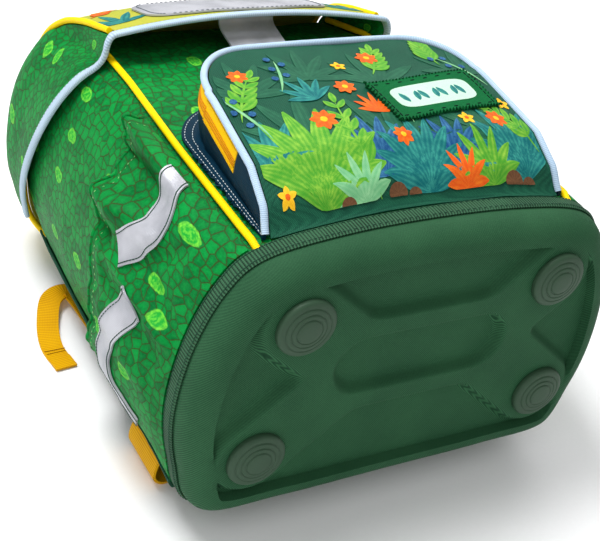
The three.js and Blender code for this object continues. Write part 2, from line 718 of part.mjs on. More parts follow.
// Grey tape under the flap's front edge, with a rolled loop on it
function makeClosure() {
  const seat = bodyFront(CLOSURE_WIDTH / 2, CLOSURE_UP) + SEAT + FRONT_CROWN * 0.15 + CLOSURE_TAPE;
  const under = onFlap(0, flapShare(BINDING_WIDTH * 2), -(FLAP_WALL + 1.5 * SEAT));
  const route = new THREE.CatmullRomCurve3([
    new THREE.Vector3(0, CLOSURE_UP, seat),
    new THREE.Vector3(0, CLOSURE_UP + CLOSURE_LENGTH * 0.6, seat + SEAT),
    new THREE.Vector3(0, under.y - BINDING_THICKNESS, (seat + under.z) / 2),
    under,
  ]);
  const tape = (u, v) => route.getPoint(v).setX((u - 0.5) * CLOSURE_WIDTH);
  piece("closure_tape", sheet(tape, 2, 6, CLOSURE_TAPE), "reflective");
  const centre = route.getPoint(0.32);
  const radius = CLOSURE_ROLL + CLOSURE_TAPE;
  const loop = (u, v) => {
    const angle = (1.8 * v - 0.5) * Math.PI;
    return new THREE.Vector3(
      CLOSURE_WIDTH * (0.12 + 0.6 * (u - 0.5)),
      centre.y + radius * Math.cos(angle),
      centre.z + SEAT + radius * (1 + Math.sin(angle)),
    );
  };
  piece("closure_loop", sheet(loop, 1, 10, -CLOSURE_TAPE), "reflective");
}

// The front pocket's outline, from the foot of one side over the top to the other foot.
// grow moves it outwards in its own plane.
function pocketOutline(share, grow) {
  const foot = POCKET_TOP * POCKET_RISE[0].up;
  const wide = (up) => (POCKET_WIDTH / 2) * column(POCKET_RISE, "up", up / POCKET_TOP, "wide");
  const radius = POCKET_CORNER + grow;
  const straight = POCKET_TOP - POCKET_CORNER - foot;
  const bend = (Math.PI / 2) * radius;
  const top = wide(POCKET_TOP) - POCKET_CORNER;
  const total = straight + bend + top;
  const side = share < 0.5 ? -1 : 1;
  const run = total * (1 - Math.abs(share - 0.5) * 2);
  let place = new THREE.Vector2(0, 0);
  if (run > straight + bend) {
    place.set(top * (1 - (run - straight - bend) / top), POCKET_TOP + grow);
  } else if (run > straight) {
    const angle = (run - straight) / radius;
    place.set(top + radius * Math.cos(angle), POCKET_TOP - POCKET_CORNER + radius * Math.sin(angle));
  } else {
    const up = foot + run;
    place.set(wide(up) + grow, up);
  }
  place.x *= side;
  return place;
}

// How far the pocket's face edge stands out at a height.
function pocketOut(across, up) {
  const share = Math.min(up / POCKET_TOP, 1);
  return bodyFront(across, up) + POCKET_DEPTH * column(POCKET_RISE, "up", share, "deep");
}

// Front pocket: gusset with its flange, zip, plain zip ends, face, piping and label patch
function makePocket() {
  const wallTop = PIPING_RADIUS + SEAT;
  const ramp = (share, part, grow = 0) => {
    const rim = pocketOutline(share, grow);
    const limit = bodyCurve(rim.y).getPoint(rowShare("front_edge")).x - 2 * PIPING_RADIUS - SEAT;
    rim.x = THREE.MathUtils.clamp(rim.x, -limit, limit);
    const floor = bodyFront(rim.x, rim.y) + SEAT + GUSSET_WALL;
    const height = pocketOut(rim.x, rim.y) - wallTop - floor;
    return new THREE.Vector3(rim.x, rim.y, floor + Math.max(height, 1) * part);
  };
  const zipShare = (share) => {
    const rim = pocketOutline(share, 0);
    const height = pocketOut(rim.x, rim.y) - wallTop - bodyFront(rim.x, rim.y);
    return 1 - Math.min(ZIP_WIDTH / Math.max(height, 1), 0.62);
  };
  const columns = 36;
  const shareAt = (index) => THREE.MathUtils.lerp(0.004, 0.996, index / columns);
  const gusset = (u, v) => {
    const share = shareAt(Math.round(u * columns));
    if (v < 0.3) {
      return ramp(share, 0, FLANGE_WIDTH);
    }
    const top = ramp(share, zipShare(share));
    top.z -= SEAT;
    const rise = top.z - ramp(share, 0).z;
    return v < 0.6 ? ramp(share, 0, -Math.min(FLANGE_WIDTH / 3, rise / 4)) : top;
  };
  piece("pocket_gusset", sheet(gusset, columns, 2, -GUSSET_WALL), "navy_cloth");

  let end = 2;
  while (pocketOutline(shareAt(end), 0).y < ZIP_END_UP) {
    end += 1;
  }
  const band = (name, from, to, material) => {
    const last = to - from;
    const point = (u, v) => {
      const index = from + Math.round(u * last);
      const trim = index === from && from > 0 ? 0.002 : 0;
      const share = shareAt(index) + trim;
      return ramp(share, THREE.MathUtils.lerp(zipShare(share), 1, v));
    };
    piece(name, sheet(point, last, 1, -GUSSET_WALL), material);
  };
  band("zip_end_left", 0, end, "navy_cloth");
  band("pocket_zip", end, columns - end, "zip_tape");
  band("zip_end_right", columns - end, columns, "navy_cloth");

  const foot = POCKET_TOP * POCKET_RISE[0].up;
  const middle = new THREE.Vector2(0, (foot + POCKET_TOP) / 2);
  const rim = (u) => {
    const inset = -(PIPING_RADIUS + SEAT);
    const around = u * 1.25;
    if (around <= 1) {
      return pocketOutline(around, inset);
    }
    const [from, to] = [pocketOutline(1, inset), pocketOutline(0, inset)];
    return from.lerp(to, (around - 1) / 0.25);
  };
  const onFace = (across, up, outwards) => {
    const edge = POCKET_WIDTH / 2;
    const bulge = (1 - (across / edge) ** 2) * Math.sin(Math.PI * ((up - foot) / (POCKET_TOP - foot)));
    const depth = POCKET_DEPTH * column(POCKET_RISE, "up", Math.min(up / POCKET_TOP, 1), "deep");
    const out = bodyFront(across, up) + depth + POCKET_CROWN * Math.max(bulge, 0) + outwards;
    return new THREE.Vector3(across, up, out);
  };
  const face = (u, v) => {
    const place = middle.clone().lerp(rim(u), 1 - v);
    return onFace(place.x, place.y, 0);
  };
  const shape = { closed: true, folded: true };
  piece("pocket_face", sheet(face, AROUND_PATCH, 3, -POCKET_WALL, shape), "pocket_print");

  const cord = [];
  for (let step = 0; step <= 36; step += 1) {
    const place = pocketOutline(THREE.MathUtils.lerp(0.006, 0.994, step / 36), 0);
    cord.push(new THREE.Vector3(place.x, place.y, pocketOut(place.x, place.y)));
  }
  piece("pocket_piping", piping(cord, PIPING_RADIUS, 40), "light_binding");

  const turn = (LABEL_TURN * Math.PI) / 180;
  const label = (u, v) => {
    const place = new THREE.Vector2((u - 0.5) * LABEL_WIDTH, (v - 0.5) * LABEL_HEIGHT);
    place.rotateAround(new THREE.Vector2(), turn);
    return onFace(place.x + LABEL_ACROSS, place.y + LABEL_UP, SEAT + LABEL_THICKNESS);
  };
  piece("label_patch", sheet(label, 4, 2, LABEL_THICKNESS), "label_felt");
}

// The share round the contour at a distance from a named row, towards the back.
function beyond(name, distance, up) {
  const curve = bodyCurve(up);
  const step = 0.0005;
  let [share, done] = [rowShare(name), 0];
  while (done < Math.abs(distance)) {
    const next = share + Math.sign(distance) * step;
    done += curve.getPoint(share).distanceTo(curve.getPoint(next));
    share = next;
  }
  return share;
}

// A point on a side pocket, at shares of its run and of the height of its mouth.
function onSidePocket(side, across, rise, outwards = 0) {
  const foot = TAPE_HEAD + GAP;
  const mouth = SIDE_POCKET_HEIGHT * column(SIDE_POCKET_FALL, "across", across, "mouth");
  const up = THREE.MathUtils.lerp(foot, mouth, rise);
  const first = beyond("front_edge", 2 * PIPING_RADIUS, up);
  const last = beyond("rear_corner", -EDGE_BINDING_WIDTH * 0.62, up);
  const around = THREE.MathUtils.lerp(first, last, across);
  const lean = column(SIDE_POCKET_FALL, "across", across, "lean");
  const belly = column(SIDE_POCKET_FALL, "across", across, "belly");
  const swell = Math.sin(Math.min(rise * 1.5, 1) * (Math.PI / 2));
  const bulge = swell * THREE.MathUtils.lerp(belly, lean, THREE.MathUtils.smoothstep(rise, 0.3, 1));
  const gathered = Math.max(Math.sin(Math.PI * Math.min(across * 1.9, 1)), 0) * rise * rise;
  const gather = GATHER_DEPTH * gathered * Math.sin(2 * Math.PI * GATHER_COUNT * across);
  const off = 1.5 * SEAT + SIDE_POCKET_WALL + Math.max(SIDE_POCKET_BULGE * bulge + gather, 0);
  return onBody(side > 0 ? around : 1 - around, up, off + outwards);
}

// Side pockets with their reflective strips
function makeSidePockets() {
  for (const [side, word] of [[-1, "left"], [1, "right"]]) {
    const point = (u, v) => onSidePocket(side, u, v);
    const pocket = sheet(point, 18, 6, side * SIDE_POCKET_WALL);
    piece("side_pocket_" + word, pocket, "scale_print");
    for (const [place, rows] of Object.entries(STRIPS)) {
      const along = (share) => new THREE.Vector2(
        SIDE_POCKET_RUN * smoothly(rows, share, "across"),
        SIDE_POCKET_HEIGHT * smoothly(rows, share, "up"),
      );
      const strip = (u, v) => {
        const heading = along(Math.min(u + 0.05, 1)).sub(along(Math.max(u - 0.05, 0))).normalize();
        const offset = (v - 0.5) * STRIP_WIDTH;
        const spot = along(u).add(new THREE.Vector2(-heading.y, heading.x).multiplyScalar(offset));
        const across = Math.max(spot.x / SIDE_POCKET_RUN, 0);
        const foot = TAPE_HEAD + GAP;
        const mouth = SIDE_POCKET_HEIGHT * column(SIDE_POCKET_FALL, "across", across, "mouth");
        const lift = SEAT + 0.6 + STRIP_THICKNESS;
        return onSidePocket(side, across, (spot.y - foot) / (mouth - foot), lift);
      };
      const name = "side_strip_" + place + "_" + word;
      piece(name, sheet(strip, 10, 2, side * STRIP_THICKNESS), "reflective");
    }
  }
}

// Levels behind the back panel, from the wall down to the ground
const BACK_WALL = -BODY_DEPTH * 0.03 * 1.01;
const PAD_UNDER = BACK_WALL - SEAT - PAD_THICKNESS;
const GROUND = PAD_UNDER - SEAT - STRAP_THICKNESS;

// A point of a strap's or strip's run, with its direction across the width.
function onRun(table, share, side) {
  const place = (at) => new THREE.Vector3(
    side * PAD_WIDTH * smoothly(table, at, "across"),
    PAD_MIDDLE + PAD_HEIGHT * smoothly(table, at, "up"),
    0,
  );
  const here = place(share);
  const along = place(Math.min(share + 0.02, 1)).sub(place(Math.max(share - 0.02, 0)));
  return { here, over: new THREE.Vector3(along.y, -along.x, 0).normalize() };
}

// Back panel: edge bindings, pad, shoulder straps, buckles, anchors, free webbing and handle
function makeBack() {
  const levels = bodyLevels(TAPE_HEAD + SEAT, BODY_HEIGHT * 0.93, 1);
  const lastLevel = levels.length - 1;
  const bent = (share) => Math.sin((share - 0.5) * Math.PI);
  const pad = (u, v) => {
    const half = (PAD_WIDTH / 2) * (1 - PAD_CORNER * Math.pow(Math.abs(bent(v)), 12));
    return new THREE.Vector3(
      half * bent(u),
      PAD_MIDDLE + (PAD_HEIGHT / 2) * bent(v),
      BACK_WALL - SEAT,
    );
  };
  const padDepth = (u, v) => {
    const rim = Math.max(Math.abs(bent(u)), Math.abs(bent(v)));
    const channel = Math.abs(u - 0.5) < 0.06 ? PAD_CHANNEL : 0;
    return (PAD_THICKNESS - channel) * (rim > 0.99 ? 0.45 : 1);
  };
  piece("back_pad", sheet(pad, 10, 8, padDepth), "base_cloth");

  for (const [side, word] of [[-1, "left"], [1, "right"]]) {
    const edge = (u, v) => {
      const up = levels[Math.round(v * lastLevel)];
      const around = beyond("rear_corner", (u - 0.5) * EDGE_BINDING_WIDTH, up);
      return onBody(side > 0 ? around : 1 - around, up, SEAT + EDGE_BINDING_THICKNESS);
    };
    const binding = sheet(edge, 2, lastLevel, side * EDGE_BINDING_THICKNESS);
    piece("edge_binding_" + word, binding, "dark_tape");

    const strap = (u, v) => {
      const { here, over } = onRun(STRAP_RUN, v, side);
      const half = (STRAP_WIDTH / 2) * smoothly(STRAP_RUN, v, "wide");
      here.addScaledVector(over, (2 * u - 1) * half);
      const drop = THREE.MathUtils.clamp(smoothly(STRAP_RUN, v, "drop"), 0, 1);
      here.z = THREE.MathUtils.lerp(FLAP_BACK - SEAT, PAD_UNDER - SEAT, drop);
      return here;
    };
    const strapDepth = (u, v) => STRAP_THICKNESS * Math.min(smoothly(STRAP_RUN, v, "thick"), 1);
    piece("shoulder_strap_" + word, sheet(strap, 2, 14, strapDepth), "navy_cloth");

    const buckle = makeBuckle(side, word);
    makeAnchor(side, word, buckle);
    makeTail(side, word, buckle);
  }

  const middle = FLAP_TOP * FLAP_PROFILE[FLAP_PROFILE.length - 2].up;
  const handle = (u, v) => new THREE.Vector3(
    HANDLE_SPAN * (v - 0.5),
    middle + HANDLE_WIDTH * (u - 0.5),
    FLAP_BACK - SEAT - HANDLE_RISE * Math.pow(Math.sin(Math.PI * v), 0.7),
  );
  piece("carry_handle", sheet(handle, 1, 12, -HANDLE_THICKNESS), "navy_cloth");
}

// Buckle at the lower end of a shoulder strap: a flat plate with round corners.
// It gives its middle and the directions ahead of the strap and across it.
function makeBuckle(side, word) {
  const half = WEBBING_WIDTH / 2 + BUCKLE_MARGIN;
  const length = BUCKLE_LENGTH / 2;
  const cut = BUCKLE_MARGIN;
  const plate = new THREE.Shape();
  plate.moveTo(-half, -length + cut);
  plate.quadraticCurveTo(-half, -length, -half + cut, -length);
  plate.lineTo(half - cut, -length);
  plate.quadraticCurveTo(half, -length, half, -length + cut);
  plate.lineTo(half, length - cut);
  plate.quadraticCurveTo(half, length, half - cut, length);
  plate.lineTo(-half + cut, length);
  plate.quadraticCurveTo(-half, length, -half, length - cut);
  plate.closePath();
  const solid = { depth: BUCKLE_THICKNESS, bevelEnabled: false, curveSegments: 3 };
  const { here, over } = onRun(STRAP_RUN, 1, side);
  const ahead = new THREE.Vector3(over.y, -over.x, 0);
  ahead.multiplyScalar(-Math.sign(ahead.y));
  const made = piece("strap_buckle_" + word, new THREE.ExtrudeGeometry(plate, solid), "buckle_plastic");
  made.position.copy(here).addScaledVector(ahead, length + GAP);
  made.position.z = GROUND;
  made.rotation.z = Math.atan2(over.y, over.x);
  return { middle: made.position.clone(), ahead, over: over.multiplyScalar(Math.sign(over.y)) };
}

// Anchor tab from the edge seam down to the ground, and its webbing on to the buckle
function makeAnchor(side, word, { middle, ahead, over }) {
  const far = middle.clone().addScaledVector(ahead, BUCKLE_LENGTH / 2 + GAP);
  const seam = onBody(rowShare("rear_corner", side), ANCHOR_UP, EDGE_BINDING_THICKNESS + 2 * SEAT);
  const ground = GROUND + WEBBING_THICKNESS;
  const tabShare = 0.75;
  const tab = (u, v) => new THREE.Vector3(
    seam.x + side * WEBBING_WIDTH * smoothly(ANCHOR_RUN, v, "outwards"),
    ANCHOR_UP + ANCHOR_LENGTH * smoothly(ANCHOR_RUN, v, "long") * (u - 0.5),
    THREE.MathUtils.lerp(seam.z, ground, Math.min(smoothly(ANCHOR_RUN, v, "down"), 1)),
  );
  const anchor = (u, v) => {
    if (v <= tabShare) {
      return tab(u, v / tabShare);
    }
    const end = far.clone().addScaledVector(over, (u - 0.5) * WEBBING_WIDTH).setZ(ground);
    return tab(u, 1).lerp(end, (v - tabShare) / (1 - tabShare));
  };
  const strip = sheet(anchor, 1, 12, side * WEBBING_THICKNESS);
  piece("webbing_anchor_" + word, strip, "yellow_trim");
}

// Free end of the webbing, from the buckle's outer side along the strap and back
function makeTail(side, word, { middle, ahead, over }) {
  const outer = middle.clone().addScaledVector(over, WEBBING_WIDTH / 2 + BUCKLE_MARGIN + GAP);
  const turnShare = 0.08;
  const onTail = (u, v) => {
    const { here, over: square } = onRun(TAIL_RUN, v, side);
    here.addScaledVector(square, (u - 0.5) * WEBBING_WIDTH);
    return here.setZ(Math.max(smoothly(TAIL_RUN, v, "lift"), 0) * WEBBING_WIDTH);
  };
  const tail = (u, v) => {
    let here = onTail(u, Math.max((v - turnShare) / (1 - turnShare), 0));
    if (v < turnShare) {
      const start = outer.clone().addScaledVector(ahead, side * (u - 0.5) * WEBBING_WIDTH);
      here = start.setZ(0).lerp(here, v / turnShare);
    }
    here.z += GROUND + WEBBING_THICKNESS;
    return here;
  };
  piece("webbing_tail_" + word, sheet(tail, 1, 24, WEBBING_THICKNESS), "yellow_trim");
}

makeBody();
makeBase();
makeFlap();
makeClosure();
makePocket();
makeSidePockets();
makeBack();

// The bag lies on the ground plane with the middle of its outline over the origin.
const whole = new THREE.Box3().setFromObject(bag, true);
const centre = whole.getCenter(new THREE.Vector3());
bag.position.set(-centre.x, -centre.y, -whole.min.z);

export default bag;
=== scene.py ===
"""School ransel lying on its back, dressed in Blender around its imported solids.

The soft shells are worked out in the bag's own directions, in millimetres: x across,
y from the foot faces up to the flap, z from the back panel out to the front pocket.
Shell.to_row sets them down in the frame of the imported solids.
"""

import logging
import math
from bisect import bisect_left
from dataclasses import dataclass, field
from enum import Enum
from typing import Any, Callable, NamedTuple, Optional, Sequence, Union

import bpy
from mathutils import Matrix, Vector, noise

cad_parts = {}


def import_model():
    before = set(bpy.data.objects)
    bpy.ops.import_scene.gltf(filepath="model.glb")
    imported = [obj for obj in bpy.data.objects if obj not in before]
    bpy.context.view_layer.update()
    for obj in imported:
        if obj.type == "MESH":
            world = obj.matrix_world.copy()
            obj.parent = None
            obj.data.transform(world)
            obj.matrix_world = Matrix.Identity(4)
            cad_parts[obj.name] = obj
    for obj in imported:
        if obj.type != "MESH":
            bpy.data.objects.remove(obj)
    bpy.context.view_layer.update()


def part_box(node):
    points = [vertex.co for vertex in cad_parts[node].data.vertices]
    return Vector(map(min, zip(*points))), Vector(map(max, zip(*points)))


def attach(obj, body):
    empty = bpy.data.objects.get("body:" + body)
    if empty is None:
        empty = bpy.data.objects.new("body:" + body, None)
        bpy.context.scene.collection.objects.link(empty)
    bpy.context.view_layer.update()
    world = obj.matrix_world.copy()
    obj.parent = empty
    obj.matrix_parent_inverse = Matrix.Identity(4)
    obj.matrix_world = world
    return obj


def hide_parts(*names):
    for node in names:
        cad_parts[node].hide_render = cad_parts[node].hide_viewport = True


LOG = logging.getLogger("ransel")
MM = 0.001
ROOT = "root"
Point = Callable[[float, float], Vector]
Seat = tuple[Vector, Vector, Vector]
Colour = tuple[float, float, float, float]
Triple = tuple[float, float, float]
Pair = tuple[float, float]


class Side(Enum):
    """The bag's two sides, with the sign of x on each."""

    LEFT = -1
    RIGHT = 1

    @property
    def word(self) -> str:
        """The side's word, as the node names end."""
        return self.name.lower()


def srgb(red: int, green: int, blue: int) -> Colour:
    """A colour as the eye reads it, 0 to 255, as linear values with alpha."""
    def linear(value: int) -> float:
        share = value / 255
        return share / 12.92 if share <= 0.04045 else ((share + 0.055) / 1.055) ** 2.4
    return (linear(red), linear(green), linear(blue), 1.0)


def lerp(low: float, high: float, share: float) -> float:
    """The value at a share of the way from low to high."""
    return low + (high - low) * share


def clamp(value: float, low: float = 0.0, high: float = 1.0) -> float:
    """The value, kept between low and high."""
    return max(low, min(high, value))


def smoothstep(value: float, low: float, high: float) -> float:
    """0 below low, 1 above high, and a smooth way between."""
    share = clamp((value - low) / (high - low))
    return share * share * (3 - 2 * share)


def catmull(a: float, b: float, c: float, d: float, t: float) -> float:
    """The Catmull-Rom curve between b and c at t."""
    return b + 0.5 * t * (c - a + t * (2 * a - 5 * b + 4 * c - d + t * (3 * (b - c) + d - a)))


@dataclass(frozen=True)
class Table:
    """Rows of named columns, read at a place between them."""

    names: tuple[str, ...]
    rows: tuple[tuple[float, ...], ...]

    def row(self, index: int, name: str) -> float:
        """One value of a row."""
        return self.rows[index][self.names.index(name)]

    def at(self, key: str, place: float, name: str) -> float:
        """The value of a column where the key column reads place.

        Args:
            key: the column that is looked up.
            place: what it reads.
            name: the column that is wanted.

        Returns:
            The value, straight between the two nearest rows.
        """
        last = len(self.rows) - 1
        low = 0
        while low < last - 1 and place > self.row(low + 1, key):
            low += 1
        start, end = self.row(low, key), self.row(low + 1, key)
        share = clamp((place - start) / (end - start))
        return lerp(self.row(low, name), self.row(low + 1, name), share)

    def smooth(self, share: float, name: str) -> float:
        """The value of a column at a share of the way through the rows.

        Args:
            share: 0 at the first row, 1 at the last.
            name: the column that is wanted.

        Returns:
            The value on a smooth curve through the rows.
        """
        last = len(self.rows) - 1
        place = clamp(share) * last
        low = min(int(place), last - 1)
        pick = [self.row(min(max(low + step, 0), last), name) for step in (-1, 0, 1, 2)]
        return catmull(*pick, place - low)


class Shell:
    """The bag's named sizes in millimetres and the forms that follow from them."""

    body_width = 311.0
    body_depth = 172.0
    body_height = 335.0
    front_crown = 12.0
    base_height = 27.0
    base_edge = 17.0
    base_relief = 7.0
    foot_radius = 19.2
    foot_height = 7.0
    front_foot = (92.0, 134.0)
    rear_foot = (108.0, 38.0)
    tape_width = 12.0
    tape_thickness = 1.5
    piping = 2.3
    flap_top = 386.0
    flap_reach = 193.0
    flap_width = 296.0
    flap_wall = 2.2
    flap_crown = 9.0
    flap_corner = 34.0
    wing_wall = 1.8
    wing_clearance = 8.0
    wing_front_up = 262.0
    wing_rise = 72.0
    wing_last_out = 10.0
    wing_tip = 14.0
    wing_last_row = 8
    binding_width = 9.0
    binding_thickness = 4.0
    closure_width = 44.0
    closure_length = 34.0
    closure_tape = 1.6
    closure_roll = 4.5
    closure_up = 216.0
    pocket_width = 214.0
    pocket_top = 184.0
    pocket_depth = 46.0
    pocket_corner = 42.0
    pocket_crown = 5.0
    pocket_wall = 2.4
    gusset_wall = 1.6
    flange_width = 9.0
    zip_width = 17.0
    zip_end_up = 90.0
    side_pocket_height = 158.0
    side_pocket_run = 205.0
    side_pocket_wall = 1.5
    side_pocket_bulge = 10.0
    gather_depth = 3.2
    gather_count = 6
    strip_width = 22.0
    strip_thickness = 1.2
    pad_width = 252.0
    pad_height = 254.0
    pad_middle = 190.0
    pad_thickness = 14.0
    edge_binding_width = 12.0
    edge_binding_thickness = 2.4
    strap_width = 58.0
    strap_thickness = 12.0
    webbing_width = 20.0
    webbing_thickness = 1.8
    anchor_length = 42.0
    anchor_up = 85.0
    buckle_length = 24.0
    buckle_margin = 4.0
    handle_width = 20.0
    handle_span = 104.0
    handle_rise = 13.0
    handle_thickness = 3.0
    gap = 0.3
    seat = 0.6

    half_width = body_width / 2
    tape_foot = base_height - 1
    tape_head = base_height - 1 + tape_width
    flap_back = -(body_depth * 0.03 + seat + flap_wall)
    back_wall = -body_depth * 0.03 * 1.01
    pad_under = back_wall - seat - pad_thickness
    ground = pad_under - seat - strap_thickness

    contour_names = ("front_middle", "front_quarter", "front_edge", "front_corner", "side_front",
                     "side_middle", "side_rear", "rear_corner", "rear_quarter", "rear_middle")
    contour = Table(("across", "out", "crown"), (
        (0, 0.98, 1), (0.4, 0.98, 0.8), (0.727, 0.98, 0.08), (0.868, 0.87, 0), (0.962, 0.66, 0),
        (1, 0.4, 0), (0.965, 0.17, 0), (0.86, -0.004, 0), (0.5, -0.03, 0), (0, -0.03, 0),
    ))
    sections = Table(("up", "wide", "deep", "crown", "rear"), (
        (0, 1, 1, 1, 0.042), (0.125, 1, 1, 1, 0.042), (0.17, 1, 1, 0.8, 0.002),
        (0.45, 0.985, 1, 0.35, 0), (0.7, 0.962, 1.01, 0.15, 0), (0.86, 0.94, 0.99, 0.1, 0),
        (1, 0.905, 0.93, 0.1, 0),
    ))
    flap_profile = Table(("up", "out", "wide", "crown"), (
        (0.686, 1, 0.73, 1), (0.764, 0.957, 0.735, 1), (0.834, 0.916, 0.745, 1),
        (0.905, 0.854, 0.765, 1), (0.963, 0.755, 0.79, 1), (0.992, 0.616, 0.815, 0.9),
        (1, 0.42, 0.838, 0.7), (0.99, 0.2, 0.85, 0.5), (0.958, 0.05, 0.855, 0.25),
        (0.915, 0, 0.85, 0), (0.845, 0, 0.83, 0),
    ))
    pocket_rise = Table(("up", "deep", "wide"), (
        (0.215, 0.2, 1), (0.27, 0.33, 0.985), (0.4, 0.64, 0.975), (0.72, 0.87, 0.945), (1, 1, 0.93),
    ))
    side_fall = Table(("across", "mouth", "lean", "belly"), (
        (0, 1.2, 0, 0), (0.08, 1.19, 0.62, 0.35), (0.19, 1.12, 0.12, 0.5), (0.32, 1.03, 1, 0.8),
        (0.5, 0.9, 1.05, 1), (0.68, 0.87, 1, 1), (0.85, 0.92, 0.6, 0.6), (1, 0.95, 0, 0),
    ))
    strips = {
        "front": Table(("across", "up"), (
            (0.02, 0.76), (0.09, 0.75), (0.18, 0.66), (0.26, 0.63), (0.38, 0.76))),
        "rear": Table(("across", "up"), (
            (0.42, 0.52), (0.57, 0.645), (0.7, 0.69), (0.81, 0.6), (0.88, 0.44))),
    }
    strap_run = Table(("across", "up", "wide", "thick", "drop"), (
        (0.17, 0.555, 0.8, 0.35, 0), (0.175, 0.53, 0.84, 0.4, 0.4), (0.178, 0.49, 0.92, 0.8, 1),
        (0.185, 0.43, 0.96, 1, 1), (0.2, 0.36, 1, 1, 1), (0.235, 0.16, 1, 1, 1),
        (0.258, -0.03, 1, 1, 1), (0.272, -0.17, 0.9, 1, 1), (0.3, -0.265, 0.66, 1, 1),
        (0.345, -0.325, 0.5, 1, 1),
    ))
    tail_run = Table(("across", "up", "lift"), (
        (0.45, -0.24, 0), (0.458, -0.15, 0), (0.455, 0.02, 0), (0.458, 0.2, 0.1),
        (0.485, 0.325, 0.35), (0.55, 0.31, 0.35), (0.595, 0.215, 0.15), (0.614, 0.12, 0),
        (0.606, 0.02, 0),
    ))
    anchor_run = Table(("outwards", "down", "long"), (
        (0, 0, 1), (0.25, 0.25, 1), (0.3, 0.7, 0.98), (-0.1, 0.96, 0.9), (-0.7, 1, 0.66),
    ))

    shift = Vector((0, 0, 0))
    level_step = 4.0
    _sections_seen: dict[float, list[tuple[float, float]]] = {}
    _outlines_seen: dict[int, tuple[list, list]] = {}
    _walks_seen: dict[tuple[str, float, int], float] = {}

    @classmethod
    def settle(cls) -> None:
        """Takes the bag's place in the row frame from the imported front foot."""
        low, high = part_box("foot_front_right")
        cls.shift = Vector((0, low.y, (low.z + high.z) / 2 - cls.front_foot[1] * MM))

    @classmethod
    def to_row(cls, place: Vector) -> Vector:
        """A point of the bag, in millimetres, as a point of the row frame."""
        return place * MM + cls.shift

    @classmethod
    def controls(cls, up: float) -> list[tuple[float, float]]:
        """The closed cross-section's points (x, z) at a height."""
        key = round(up, 4)
        if key not in cls._sections_seen:
            share = up / cls.body_height
            wide, deep, crown, rear = (
                cls.sections.at("up", share, name) for name in ("wide", "deep", "crown", "rear"))
            right = []
            for across, out, bow in cls.contour.rows:
                back = cls.body_depth * rear if out < 0 else 0
                reach = cls.body_depth * deep * out + cls.front_crown * crown * bow - back
                right.append((cls.half_width * wide * across, reach))
            left = [(-x, z) for x, z in reversed(right[1:-1])]
            cls._sections_seen[key] = right + left
        return cls._sections_seen[key]

    @classmethod
    def contour_point(cls, around: float, up: float) -> tuple[float, float]:
        """The outside (x, z) at a share round the cross-section."""
        points = cls.controls(up)
        count = len(points)
        place = (around % 1) * count
        first = int(place)
        near = [points[(first + step) % count] for step in (-1, 0, 1, 2)]
        t = place - first
        return (catmull(*(p[0] for p in near), t), catmull(*(p[1] for p in near), t))

    @classmethod
    def on_body(cls, around: float, up: float, out: float = 0) -> Vector:
        """A point on the body's outside, moved outwards by a distance.

        Args:
            around: the share round the cross-section, 0 at the middle of the front.
            up: the height.
            out: the distance outwards.

        Returns:
            The point, in millimetres.
        """
        x, z = cls.contour_point(around, up)
        ahead, behind = cls.contour_point(around + 1e-4, up), cls.contour_point(around - 1e-4, up)
        tangent = Vector((ahead[0] - behind[0], 0, ahead[1] - behind[1])).normalized()
        normal = Vector((-tangent.z, 0, tangent.x))
        if normal.x * x + normal.z * (z - cls.body_depth / 2) < 0:
            normal.negate()
        return Vector((x, up, z)) + normal * out

    @classmethod
    def row_share(cls, name: str, side: Side = Side.RIGHT) -> float:
        """The share round the contour of a named row."""
        share = cls.contour_names.index(name) / (2 * (len(cls.contour_names) - 1))
        return share if side is Side.RIGHT else 1 - share

    @classmethod
    def outline(cls, index: int) -> tuple[list[tuple[float, float]], list[tuple[float, float]]]:
        """The front half and the side of the outline at a numbered level, as points (x, z)."""
        if index not in cls._outlines_seen:
            up = index * cls.level_step
            runs = []
            for first, last in (("front_middle", "front_corner"), ("front_edge", "rear_corner")):
                low, high = cls.row_share(first), cls.row_share(last)
                runs.append([cls.contour_point(lerp(low, high, step / 90), up) for step in range(91)])
            cls._outlines_seen[index] = (runs[0], [(z, x) for x, z in reversed(runs[1])])
        return cls._outlines_seen[index]

    @classmethod
    def look_up(cls, run: int, place: float, up: float) -> float:
        """The outline's other coordinate where the first reads place, between two levels."""
        level = max(up, 0) / cls.level_step
        index = int(level)
        found = []
        for number in (index, index + 1):
            points = cls.outline(number)[run]
            spot = clamp(bisect_left(points, (place, -1e9)), 1, len(points) - 1)
            (low, first), (high, last) = points[int(spot) - 1], points[int(spot)]
            found.append(lerp(first, last, clamp((place - low) / max(high - low, 1e-9))))
        return lerp(found[0], found[1], level - index)

    @classmethod
    def body_front(cls, across: float, up: float) -> float:
        """How far the body's front stands out at a place across it."""
        return cls.look_up(0, abs(across), up)

    @classmethod
    def body_side(cls, out: float, up: float) -> float:
        """The body's half width at a place between its front and back."""
        return cls.look_up(1, out, min(up, cls.body_height))

    @classmethod
    def beyond(cls, name: str, distance: float, up: float) -> float:
        """The share round the contour at a distance from a named row, towards the back."""
        level = up / cls.level_step
        index = int(level)
        return lerp(cls._walk(name, distance, index), cls._walk(name, distance, index + 1), level - index)

    @classmethod
    def _walk(cls, name: str, distance: float, index: int) -> float:
        """The share at a distance from a named row, at a numbered level."""
        key = (name, distance, index)
        if key not in cls._walks_seen:
            up, step = index * cls.level_step, math.copysign(0.0005, distance)
            share, done = cls.row_share(name), 0.0
            here = Vector(cls.contour_point(share, up))
            while done < abs(distance):
                share += step
                there = Vector(cls.contour_point(share, up))
                done += (there - here).length
                here = there
            cls._walks_seen[key] = share
        return cls._walks_seen[key]

